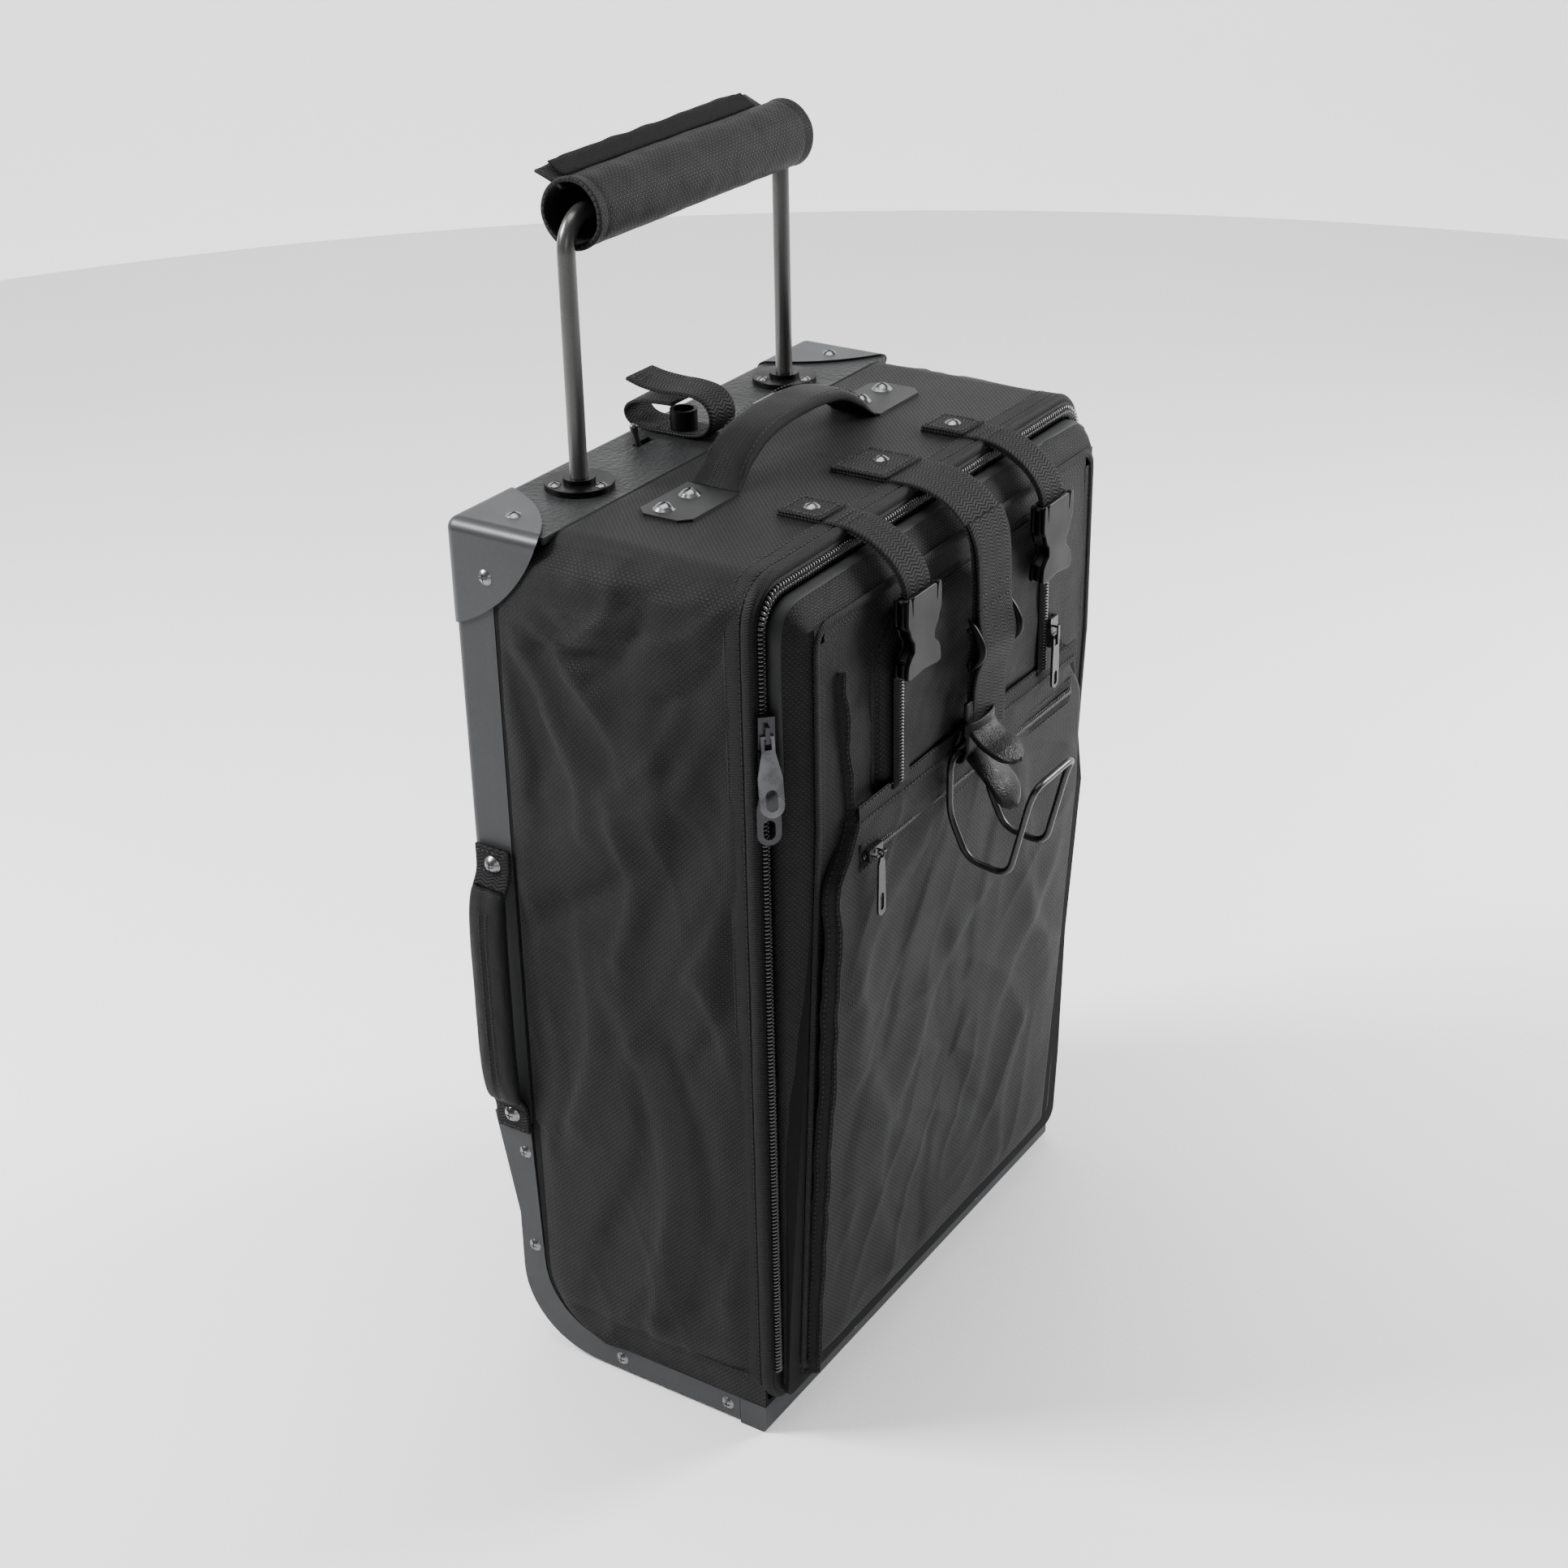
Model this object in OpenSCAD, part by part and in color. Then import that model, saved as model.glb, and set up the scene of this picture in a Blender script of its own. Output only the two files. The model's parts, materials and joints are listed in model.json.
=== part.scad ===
// Two-wheeled flight crew case: a soft fabric body on a bent metal edge frame, with a pull-out
// bail handle, an opening front lid with two pockets, and webbing straps over the lid.
// +Z is up, -Y is the front (pockets), +Y is the back (rods and wheels), X is the width.
// The origin is under the middle of the front foot, on the floor.

/* [Case] */
// Width over the side rails
case_w = 356; // [340:2:380]
// Height of the top channel's face
case_h = 540; // [530:1:560]
// Distance from the foot's middle to the back face
back_y = 180; // [178:1:182]
// Thickness of the metal rails and plates
rail_t = 2; // [1.5:0.1:2]
// Thickness of the fabric walls
wall_t = 2.5; // [2:0.1:3]

/* [Top channel] */
// Width of the channel's flat top, front to back
channel_w = 62; // [58:1:64]
// Thickness of the corner guards
guard_t = 1.5; // [1.2:0.1:2]

/* [Handle] */
// Distance between the two rods
rod_gap = 207; // [200:1:212]
// Diameter of the rods
rod_d = 10; // [9:0.5:10.5]
// How far the handle is pulled out
pulled_out = 148; // [120:1:200]
// Length of the rods below the bend
rod_len = 485; // [460:5:500]
// Outer diameter of the grip
grip_d = 34; // [30:1:36]

/* [Wheels] */
// Diameter of the wheels
wheel_d = 60; // [56:1:60]
// Width of the tyre
wheel_w = 22; // [18:1:22]

/* [Lid] */
// Half the width of the opening lid
lid_half = 168; // [164:1:168]
// Height of the pocket zip
pocket_zip_z = 371; // [365:1:375]

/* [Straps] */
// Width of the two buckle straps
strap_w = 25; // [20:1:28]
// Width of the middle strap
middle_w = 38; // [34:1:42]

/* [Hidden] */
$fn = 48;
half_w = case_w / 2;
gap = 0.3;
rod_x = rod_gap / 2;
rod_y = 147;
rod_r = rod_d / 2;
run = 0.05;
bend_r = 18;
rod_z = case_h + pulled_out;
wheel_r = wheel_d / 2;
wheel_y = rod_y;
wheel_in = half_w - 44;
wheel_out = wheel_in + wheel_w;
channel_y = back_y - channel_w;
edge_r = 5.5;
front_y = -9;
foot_h = 19;
rail_y = 152;
plate_top = 163;
base_c = [116.5, 53];
base_r = 50;
heel_y = base_c[0] + base_r;
screw_r = 2;
lever_p = [-28, 158, case_h - 16];
lid_y0 = -15.2;
lid_hinge = [lid_y0, 22];
zip_x = half_w - 6;
slider_z = 462;
strap_x = 76;
strap_t = 2.4;

// ---------- helpers ----------

function arc(c, r, a0, a1, n = 12) =
    [for (i = [0:n]) let (a = a0 + (a1 - a0) * i / n) [c[0] + r * cos(a), c[1] + r * sin(a)]];

function bend(p0, p1, p2, n = 10) =
    [for (i = [0:n]) let (t = i / n) (1-t)*(1-t)*p0 + 2*t*(1-t)*p1 + t*t*p2];

function unit(v) = v / norm(v);
function heading(p, i) = unit(p[min(i+1, len(p)-1)] - p[max(i-1, 0)]);

// Outline of a band of thickness t that follows the line p, to its left.
function band(p, t) = concat(p, [for (i = [len(p)-1:-1:0])
    let (d = heading(p, i)) p[i] + t * [-d[1], d[0]]]);

module slab(lo, hi) translate(lo) cube(hi - lo);

// A (y, z) outline stretched from x0 to x1.
module along_x(x0, x1) translate([x0, 0, 0]) rotate([90, 0, 90]) linear_extrude(x1 - x0) children();

// An (x, z) outline stretched from y0 to y1.
module along_y(y0, y1) translate([0, y1, 0]) rotate([90, 0, 0]) linear_extrude(y1 - y0) children();

module both_sides() {
    children();
    mirror([1, 0, 0]) children();
}

// Upright rectangle with round top corners and round bottom corners, drawn as (x, z).
module panel_outline(hw, z0, z1, rt, rb) polygon(concat(
    arc([hw - rb, z0 + rb], rb, -90, 0), arc([hw - rt, z1 - rt], rt, 0, 90),
    arc([rt - hw, z1 - rt], rt, 90, 180), arc([rb - hw, z0 + rb], rb, 180, 270)));

module ring_y(y0, y1, hw, z0, z1, rt, w) along_y(y0, y1) difference() {
    panel_outline(hw, z0, z1, rt, 8);
    panel_outline(hw - w, z0 + w, z1 - w, rt - w, 8 - w / 3);
}

// Closed loop of round wire through a list of points, with elbows a little fuller than the wire.
module wire_loop(p, r) for (i = [0:len(p)-1]) {
    v = p[(i + 1) % len(p)] - p[i];
    translate(p[i]) rotate([0, acos(v[2] / norm(v)), atan2(v[1], v[0])])
        cylinder(h = norm(v), r = r, $fn = 24);
    translate(p[i]) sphere(r + 0.08, $fn = 24);
}

// Pan head screw with a cross recess: the head's seat at the origin, the shank below it.
module cross_screw(head_r, shank_l) {
    difference() {
        intersection() {
            translate([0, 0, -head_r * 0.9]) sphere(head_r * 1.35);
            cylinder(h = head_r, r = head_r);
        }
        for (a = [0, 90]) rotate([0, 0, a])
            translate([-head_r * 0.55, -0.35, head_r * 0.2]) cube([head_r * 1.1, 0.7, head_r]);
    }
    translate([0, 0, -shank_l]) cylinder(h = shank_l + 0.1, r = screw_r - gap, $fn = 24);
}

module screw_at(p, turn, head_r = 4.5, shank_l = 6) translate(p) rotate(turn) cross_screw(head_r, shank_l);

module hole_at(p, turn, depth = 14, r = screw_r)
    translate(p) rotate(turn) translate([0, 0, -depth]) cylinder(h = depth + 4, r = r, $fn = 24);

// ---------- frame ----------

LEFT = [0, -90, 0];
FRONT = [90, 0, 0];
UP = [0, 0, 0];

side_screws = [[159, 140], [157, 72], [95, 11], [18, 11]];
foot_screw_x = 77;
foot_screw_z = 12;
guard_top_screw = [158.8, 149];
guard_side_screw = [155, 512];
stud_at = [-3, 147];
strap_screws = [[-strap_x, 15], [4, 20], [strap_x, 15]];
plate_screws = [[89, 84], [113, 84]];
grip_screws = [[164, 336], [164, 168]];

// Outer outline of the side frame near the wheels, drawn in by i.
module base_outline(i) polygon(concat([[9, plate_top], [back_y - i, plate_top], [heel_y - i, 93]],
    arc(base_c, base_r - i, 0, -90), [[9, 3 + i]]));

module base_window() polygon(concat([[8, plate_top + 1], [154, plate_top + 1], [150, 64]],
    arc([105, 64], 45, 0, -90), [[8, foot_h]]));

module angle_outline(a, b, t, r) polygon(concat([[a, 0]], arc([r, r], r, 270, 180, 6), [[0, b], [t, b]],
    arc([r, r], r - t, 180, 270, 6), [[a, t]]));

module top_channel() color("dimgray") difference() {
    along_x(4 - half_w, half_w - 4) polygon(concat([[channel_y, case_h], [channel_y, case_h - 4],
        [channel_y + rail_t, case_h - 4], [channel_y + rail_t, case_h - rail_t]],
        arc([back_y - edge_r, case_h - edge_r], edge_r - rail_t, 90, 0, 6),
        [[back_y - rail_t, case_h - 26], [back_y, case_h - 26]],
        arc([back_y - edge_r, case_h - edge_r], edge_r, 0, 90, 6)));
    for (s = [-1, 1]) translate([s * rod_x, rod_y, case_h - 3]) cylinder(h = 4, r = rod_r + 1.5);
    for (s = [-1, 1]) hole_at([s * guard_top_screw[0], guard_top_screw[1], case_h], UP);
    for (s = [-1, 1], a = [30, 150, 270]) translate([s * rod_x, rod_y, 0])
        rotate([0, 0, a]) hole_at([14.5, 0, case_h], UP);
    slab([-36.5, 155.4, case_h - 3], [-19.5, 160.6, case_h + 1]);
    hole_at([stud_at[0], stud_at[1], case_h], UP);
}

module side_rail() color("slategray") difference() {
    translate([-half_w, back_y, 0]) mirror([0, 1, 0]) translate([0, 0, plate_top])
        linear_extrude(case_h - 6 - plate_top) angle_outline(28, back_y - rail_y, rail_t, edge_r);
    slab([4 - half_w - gap, back_y - 3, case_h - 26 - gap], [0, back_y + 1, case_h]);
    for (p = grip_screws) hole_at([-half_w, p[0], p[1]], LEFT);
    hole_at([-half_w, guard_side_screw[0], guard_side_screw[1]], LEFT);
}

module left_side_rail() side_rail();
module right_side_rail() mirror([1, 0, 0]) side_rail();

module base_plate() color("slategray") difference() {
    union() {
        along_x(-half_w, rail_t - half_w) difference() {
            base_outline(0);
            base_window();
        }
        along_x(rail_t - half_w, 14 - half_w) difference() {
            base_outline(0);
            base_outline(rail_t);
            translate([0, 4]) square([16, 200]);
            translate([0, plate_top - 6]) square([200, 10]);
        }
    }
    slab([-half_w - 1, 0, 0], [0, 9 + gap, 40]);
    for (p = side_screws) hole_at([-half_w, p[0], p[1]], LEFT);
}

module left_base_plate() base_plate();
module right_base_plate() mirror([1, 0, 0]) base_plate();

module front_foot() color("slategray") difference() {
    union() {
        along_x(-half_w, half_w) difference() {
            polygon(concat([[9, 0]], arc([-6, 3], 3, 270, 180, 6), [[-9, foot_h], [9, foot_h]]));
            polygon([[10, 2], [-7, 2], [-7, 17], [10, 17]]);
        }
        both_sides() slab([rail_t - half_w - 2, -8, 1], [rail_t - half_w, 9, 18]);
    }
    for (s = [-1, 1]) hole_at([s * foot_screw_x, front_y, foot_screw_z], FRONT);
}

module base_panel() color("black") along_x(14 + gap - half_w, half_w - 14 - gap) difference() {
    base_outline(rail_t);
    base_outline(rail_t + 3);
    translate([-1, 0]) square([10.5, 200]);
    translate([100, 0]) square([200, 200]);
}

module wheel_bay(s, grow) {
    lo = s > 0 ? wheel_in - 5 - grow : -wheel_out - 5 - grow;
    slab([lo, wheel_y - wheel_r - 7 - grow, -1],
        [lo + wheel_w + 10 + 2 * grow, back_y + 5, wheel_d + 6 + grow]);
}

module back_panel() color("black") difference() {
    union() {
        along_x(14 + gap - half_w, half_w - 14 - gap) intersection() {
            difference() {
                base_outline(rail_t);
                base_outline(rail_t + 2);
            }
            translate([100 + gap, 0]) square([200, plate_top]);
        }
        slab([rail_t - half_w + gap, back_y - 4, plate_top], [half_w - rail_t - gap, back_y - rail_t,
            case_h - 9]);
    }
    both_sides() slab([-half_w, back_y - 8, plate_top - 1], [4 + rail_t - half_w, back_y, case_h]);
    for (s = [-1, 1]) wheel_bay(s, gap);
}

// Solid corner block with its vertex at the origin, reaching towards -x, -y and -z, edges rounded by r.
module round_corner(r, a) {
    for (m = [[0, 1, 1], [1, 0, 1], [1, 1, 0]])
        translate([-a, -a, -a]) cube([a - m[0] * r, a - m[1] * r, a - m[2] * r]);
    translate([-r, -r, -a]) cylinder(h = a - r, r = r);
    translate([-r, -a, -r]) rotate([-90, 0, 0]) cylinder(h = a - r, r = r);
    translate([-a, -r, -r]) rotate([0, 90, 0]) cylinder(h = a - r, r = r);
    translate([-r, -r, -r]) sphere(r);
}

module corner_guard() color("gray") difference() {
    intersection() {
        translate([half_w + guard_t, back_y + guard_t, case_h + guard_t])
            round_corner(edge_r + guard_t, 75);
        translate([half_w + 46.5, back_y + 33, case_h + 36]) sphere(111, $fn = 96);
    }
    translate([half_w, back_y, case_h]) round_corner(edge_r, 100);
    hole_at([guard_top_screw[0], guard_top_screw[1], case_h + 2], UP);
    hole_at([half_w + 2, guard_side_screw[0], guard_side_screw[1]], -LEFT);
}

module right_corner_guard() corner_guard();
module left_corner_guard() mirror([1, 0, 0]) corner_guard();

module frame_screws() color("silver") {
    both_sides() {
        for (p = side_screws) screw_at([-half_w, p[0], p[1]], LEFT, 4.2, 3);
        screw_at([-half_w - guard_t, guard_side_screw[0], guard_side_screw[1]], LEFT, 4.5, 5);
        screw_at([-guard_top_screw[0], guard_top_screw[1], case_h + guard_t], UP, 4.5, 6);
        screw_at([-foot_screw_x, front_y, foot_screw_z], FRONT, 3.8, 4);
    }
}

// ---------- wheels ----------

module wheel_housing(s) color("black") difference() {
    intersection() {
        wheel_bay(s, 0);
        along_x(-half_w, half_w) base_outline(rail_t + 0.1);
    }
    lo = s > 0 ? wheel_in - 3 : -wheel_out - 3;
    slab([lo, wheel_y - wheel_r - 4, -2], [lo + wheel_w + 6, back_y + 6, wheel_d + 3]);
    translate([-half_w, wheel_y, wheel_r]) rotate([0, 90, 0]) cylinder(h = case_w, r = 4);
    slab([-half_w, -20, -2], [half_w, 300, 7]);
}

module left_wheel_housing() wheel_housing(-1);
module right_wheel_housing() wheel_housing(1);

// Spins a half section, drawn as (radius, along the axle), about the wheel's axis.
module about_axle(s) translate([s * (wheel_in + wheel_w / 2), wheel_y, wheel_r])
    rotate([0, 90, 0]) rotate_extrude($fn = 96) children();

module tyre(s) color("dimgray") about_axle(s) polygon(concat([[wheel_r - 8, -wheel_w / 2 + 1]],
    [[wheel_r - 5, -wheel_w / 2 + 1]], arc([wheel_r - 4, -wheel_w / 2 + 4], 4, -60, 0, 5),
    arc([wheel_r - 4, wheel_w / 2 - 4], 4, 0, 60, 5), [[wheel_r - 5, wheel_w / 2 - 1]],
    [[wheel_r - 8, wheel_w / 2 - 1]]));

module hub(s) color("gray") about_axle(s) polygon([[11.05, -11], [13, -11], [13, -3],
    [wheel_r - 10, -3], [wheel_r - 10, -9], [wheel_r - 8, -9], [wheel_r - 8, 9],
    [wheel_r - 10, 9], [wheel_r - 10, 3], [13, 3], [13, 11], [11.05, 11], [11.05, 4], [9, 4],
    [9, -4], [11.05, -4]]);

module bearings(s) color("silver") for (k = [-1, 1]) about_axle(s)
    polygon([[4 + run, k * 4], [11, k * 4], [11, k * 11], [4 + run, k * 11]]);

module left_tyre() tyre(-1);
module right_tyre() tyre(1);
module left_hub() hub(-1);
module right_hub() hub(1);
module left_bearings() bearings(-1);
module right_bearings() bearings(1);

// Shouldered bolts with a hexagon nut, through both walls of each housing.
module wheel_axles() color("silver") both_sides()
    translate([wheel_in - 5, wheel_y, wheel_r]) rotate([0, 90, 0]) {
        translate([0, 0, -3]) cylinder(h = wheel_w + 17.5, r = 4);
        translate([0, 0, -5]) cylinder(h = 5, r = 7);
        translate([0, 0, wheel_w + 10]) cylinder(h = 4, r = 7, $fn = 6);
        for (z = [2.2, wheel_w + 5.6]) translate([0, 0, z]) cylinder(h = 2.2, r = 6);
    }

// ---------- pull-out handle ----------

module handle_bail() color("dimgray") {
    for (s = [-1, 1]) {
        translate([s * rod_x, rod_y, rod_z - bend_r - rod_len]) cylinder(h = rod_len, r = rod_r);
        translate([s * (rod_x - bend_r), rod_y, rod_z - bend_r]) rotate([90, 0, 0])
            rotate([0, 0, s > 0 ? 0 : 90]) rotate_extrude(angle = 90)
            translate([bend_r, 0]) circle(rod_r);
    }
    translate([bend_r - rod_x, rod_y, rod_z]) rotate([0, 90, 0])
        cylinder(h = rod_gap - 2 * bend_r, r = rod_r);
}

module grip_sleeve() color("black") difference() {
    union() {
        translate([-96, rod_y, rod_z]) rotate([0, 90, 0]) cylinder(h = 206, r = grip_d / 2);
        along_x(-98, 100) polygon([[156, rod_z - 2], [160, rod_z - 4], [169, rod_z + 22],
            [166, rod_z + 24]]);
    }
    translate([-97, rod_y, rod_z]) rotate([0, 90, 0]) cylinder(h = 17, r = grip_d / 2 - 3);
    translate([80, rod_y, rod_z]) rotate([0, 90, 0]) cylinder(h = 31, r = grip_d / 2 - 3);
    translate([-81, rod_y, rod_z]) rotate([0, 90, 0]) cylinder(h = 162, r = rod_r + run);
    slab([rod_x - 7, rod_y - 7, rod_z - 20], [rod_x + 7.1, rod_y + 7, rod_z]);
}

// Plastic plugs on the lower rod ends, which slide in the outer tubes.
module rod_bushes() color("white") for (s = [-1, 1]) difference() {
    translate([s * rod_x, rod_y, rod_z - bend_r - rod_len - 4]) cylinder(h = 18, r = 6.2);
    translate([s * rod_x, rod_y, rod_z - bend_r - rod_len]) cylinder(h = 20, r = rod_r + 0.02);
}

module outer_tubes() color("gray") for (s = [-1, 1]) difference() {
    translate([s * rod_x, rod_y, 68]) cylinder(h = case_h - rail_t - 68, r = 7);
    translate([s * rod_x, rod_y, 67]) cylinder(h = case_h, r = 6.2 + run);
    if (s > 0) translate([rod_x - 10, rod_y, lever_p[2] - 11]) rotate([0, 90, 0])
        cylinder(h = 7, r = 2.4);
}

module tube_foot() color("black") difference() {
    slab([-rod_x - 12, rod_y - 10, 66], [rod_x + 12, heel_y - 4.5, 76]);
    for (s = [-1, 1]) translate([s * rod_x, rod_y, 68]) cylinder(h = 12, r = 7 + run);
}

module rod_flanges() color("black") for (s = [-1, 1]) translate([s * rod_x, rod_y, case_h])
    difference() {
        union() {
            cylinder(h = 3.5, r = 19.3);
            cylinder(h = 6, r = 9);
        }
        translate([0, 0, -1]) cylinder(h = 9, r = rod_r + run);
        for (a = [30, 150, 270]) rotate([0, 0, a]) hole_at([14.5, 0, 2], UP);
    }

module flange_screws() color("silver") for (s = [-1, 1], a = [30, 150, 270])
    translate([s * rod_x, rod_y, case_h]) rotate([0, 0, a]) screw_at([14.5, 0, 3.5], UP, 3.6, 8);

// Thumb pin on a pivot under the channel, with a short arm that works the latch bar.
module release_lever() color("dimgray") translate(lever_p) rotate([0, -18, 0]) difference() {
    union() {
        translate([0, 3.7, 0]) rotate([90, 0, 0]) cylinder(h = 7.4, r = 4);
        translate([0, 0, -9]) cylinder(h = 38, r = 1.8);
        translate([0, 0, 26]) cylinder(h = 3, r = 2.3);
        translate([0, 0, 29]) sphere(2.3);
    }
    translate([0, 5, 0]) rotate([90, 0, 0]) cylinder(h = 10, r = 1.55);
}

module lever_bracket() color("gray") {
    for (k = [-1, 1]) difference() {
        slab([-38, 158 + k * 5 - 1, case_h - 22], [-18, 158 + k * 5 + 1, case_h - rail_t]);
        translate([-28, 170, lever_p[2]]) rotate([90, 0, 0]) cylinder(h = 24, r = 1.5);
    }
    translate([-28, 164.5, lever_p[2]]) rotate([90, 0, 0]) cylinder(h = 13, r = 1.5);
}

module latch_bar() color("gray") difference() {
    union() {
        slab([-34, 152.5, case_h - 26], [88, 163.5, case_h - 23.5]);
        slab([80, 144, case_h - 26], [92, 163.5, case_h - 23.5]);
        slab([84, 144, case_h - 30], [92, 150, case_h - 24]);
        translate([91, rod_y, case_h - 27]) rotate([0, 90, 0]) cylinder(h = rod_x - rod_r - 1.5 - 91, r = 2);
    }
    translate([-25.3, 158, case_h - 28]) cylinder(h = 6, r = 2.3);
}

// ---------- things on the top ----------

module loop_strap() color("black") difference() {
    along_x(-13, 12) polygon(band(concat([[172, case_h + 0.1], [136, case_h + 0.1]],
        bend([134, case_h + 0.1], [120, case_h + 1], [121, case_h + 13]),
        bend([121.5, case_h + 15], [123, case_h + 25], [137, case_h + 25.5]), [[178, case_h + 27]]),
        -strap_t));
    hole_at([stud_at[0], stud_at[1], case_h + 2], UP);
}

module loop_stud() color("black") translate([stud_at[0], stud_at[1], case_h + 2.6]) difference() {
    cylinder(h = 12, r = 8);
    translate([0, 0, 2]) cylinder(h = 12, r = 6);
}

module blank_plate() color("dimgray") slab([58, 130, case_h], [80, 140, case_h + 0.6]);

module handle_plates() color("black") both_sides() difference() {
    translate([0, 0, case_h + 0.6]) linear_extrude(2)
        polygon([[74, 62], [118, 62], [124, 68], [124, 90], [118, 96], [74, 96]]);
    for (p = plate_screws) hole_at([p[0], p[1], case_h + 3], UP);
}

module top_handle() color("black") along_y(63, 95) polygon(band(concat([[73.5, case_h + 0.7]],
    bend([66, case_h + 0.7], [40, case_h + 24], [0, case_h + 24]),
    bend([-4, case_h + 24], [-40, case_h + 24], [-66, case_h + 0.7]),
    [[-73.5, case_h + 0.7]]), -5));

module side_handle() color("black") difference() {
    union() {
        along_x(-half_w - 3, -half_w) for (p = grip_screws)
            translate([p[0] - 10, p[1] - 11]) square([20, 22]);
        along_y(151.5, 176.5) polygon(band(concat([[-half_w, 179]],
            bend([-half_w - 3, 186], [-half_w - 17, 196], [-half_w - 17, 214]),
            bend([-half_w - 17, 290], [-half_w - 17, 308], [-half_w - 3, 318]),
            [[-half_w, 325]]), -5));
    }
    for (p = grip_screws) hole_at([-half_w - 4, p[0], p[1]], LEFT, 8);
    slab([-half_w, 140, 150], [0, 190, 350]);
}

module cup_screw() {
    difference() {
        cylinder(h = 1.6, r1 = 6.2, r2 = 4.6);
        translate([0, 0, -1]) cylinder(h = 4, r = screw_r);
    }
    translate([0, 0, 1.6]) cross_screw(4.6, 6);
}

module cup_screws() color("silver") {
    for (p = strap_screws) translate([p[0], p[1], case_h + 3.1]) cup_screw();
    for (s = [-1, 1], p = plate_screws) translate([s * p[0], p[1], case_h + 2.6]) cup_screw();
    for (p = grip_screws) translate([-half_w - 3, p[0], p[1]]) rotate(LEFT) cup_screw();
}

// ---------- fabric body ----------

module shell_side(t) polygon([[front_y - t, foot_h + 0.5 + t], [118 - t, foot_h + 0.5 + t],
    [156 - t, 52], [160 - t, 62], [160 - t, 95], [back_y - 4.3 - t, plate_top + 2],
    [back_y - 4.3 - t, case_h - 9.3 - t], [front_y - t, case_h - 9.3 - t]]);

module shell_cheek(t) polygon(concat([[front_y - t, foot_h + 0.5 + t], [105 - t, foot_h + 0.5 + t]],
    arc([105 - t, 64], 44.2 - t / 2, -85, 0), [[rail_y - gap - t, plate_top],
    [rail_y - gap - t, case_h - 9.3 - t], [front_y - t, case_h - 9.3 - t]]));

module shell_roof(hw, t) polygon([[-hw, case_h - 12], [hw, case_h - 12], [hw, 0], [-hw, 0]]);

module body_solid(t) intersection() {
    union() {
        along_x(rail_t + gap + t - half_w, half_w - rail_t - gap - t) shell_side(t);
        along_x(t - half_w + gap, half_w - gap - t) shell_cheek(t);
        slab([t - half_w + gap, front_y - t, case_h - 30], [half_w - gap - t, channel_y - gap - t,
            case_h + 0.5 - t]);
        slab([t + 6 - half_w, front_y - t, case_h - 30], [half_w - 6 - t, rail_y + 20, case_h - 6 - t]);
    }
    along_y(front_y - 5, back_y) panel_outline(half_w - gap - t, foot_h + 0.5 + t, case_h + 0.5 - t,
        22 - t, 3);
}

module body_shell() color("black") difference() {
    body_solid(0);
    difference() {
        body_solid(wall_t);
        slab([-half_w, channel_y - 1, case_h - 30], [half_w, back_y, case_h]);
    }
    for (s = [-1, 1]) wheel_bay(s, gap);
    for (s = [-1, 1]) translate([s * rod_x, rod_y, case_h - 40]) cylinder(h = 50, r = 7.4);
    for (s = [-1, 1]) hole_at([s * guard_top_screw[0], guard_top_screw[1], case_h], UP);
    for (s = [-1, 1], a = [30, 150, 270]) translate([s * rod_x, rod_y, 0])
        rotate([0, 0, a]) hole_at([14.5, 0, case_h], UP);
    slab([-46, 142.5, case_h - 40], [100, 166, case_h]);
    slab([-rod_x - 13, rod_y - 11, 60], [rod_x + 13, back_y, 77]);
    both_sides() {
        hole_at([-half_w, guard_side_screw[0], guard_side_screw[1]], LEFT);
        for (p = concat(side_screws, grip_screws)) hole_at([-half_w, p[0], p[1]], LEFT, 8);
        for (p = plate_screws) hole_at([p[0], p[1], case_h], UP);
    }
    for (p = strap_screws) hole_at([p[0], p[1], case_h], UP);
}

module front_binding() color("black")
    ring_y(front_y - 3, front_y, half_w + 0.5, foot_h + 0.5, case_h + 0.5, 22, 7);

// Stiff board in front of the tubes, the back wall of the main compartment.
module inner_panel() color("dimgray") difference() {
    along_y(129, 131) panel_outline(half_w - 6, 40, case_h - 40, 12, 8);
    for (s = [-1, 1]) wheel_bay(s, gap);
}

module main_zip() color("black") {
    ring_y(front_y - 5.4, front_y - 3, half_w - 3, foot_h + 4, case_h - 3, 19, 10);
    difference() {
        ring_y(front_y - 8, front_y - 5.4, zip_x + 1.5, foot_h + 8, case_h - 7.5, 18, 3);
        slab([-half_w, front_y - 9, 0], [half_w, front_y - 5, foot_h + 26]);
    }
}

// Slider for an upright zip, facing -Y: saddle plate, two short lips and a bridge for the pull.
module saddle() {
    slab([-4.4, -4.9, -9], [4.4, -3, 9]);
    slab([3, -3.1, -9], [4.4, -1, 9]);
    slab([-4.4, -3.1, -9], [-3, -2.6, 9]);
    difference() {
        slab([-1.2, -8.2, -4.5], [1.2, -4.8, 4.5]);
        slab([-2, -7.1, -3], [2, -4.9, 3]);
    }
}

// Flat pull that hangs from its crossbar at the origin, facing -Y.
module zip_pull(w, l) difference() {
    along_y(-0.7, 0.7) polygon(concat(arc([0, w / 2 - l], w / 2, 180, 360),
        [[w / 2, -l / 2], [3.6, -8], [3.6, 0.7], [-3.6, 0.7], [-3.6, -8], [-w / 2, -l / 2]]));
    slab([-1.9, -2, -6.5], [1.9, 2, -0.7]);
    along_y(-2, 2) polygon(concat(arc([0, w / 2 - l], w / 4, 180, 360, 8),
        arc([0, w / 2 - l + 5], w / 4, 0, 180, 8)));
}

pull_drop = -1.9;
pull_out = -6;
slider_step = 20;
coil_c = [-zip_x, front_y - 6.7];

// Places a child on the main zip's left side at height z, turned to face outwards across the corner.
module on_main_zip(z) translate([coil_c[0], coil_c[1], z]) rotate([0, 0, -45]) children();

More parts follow.
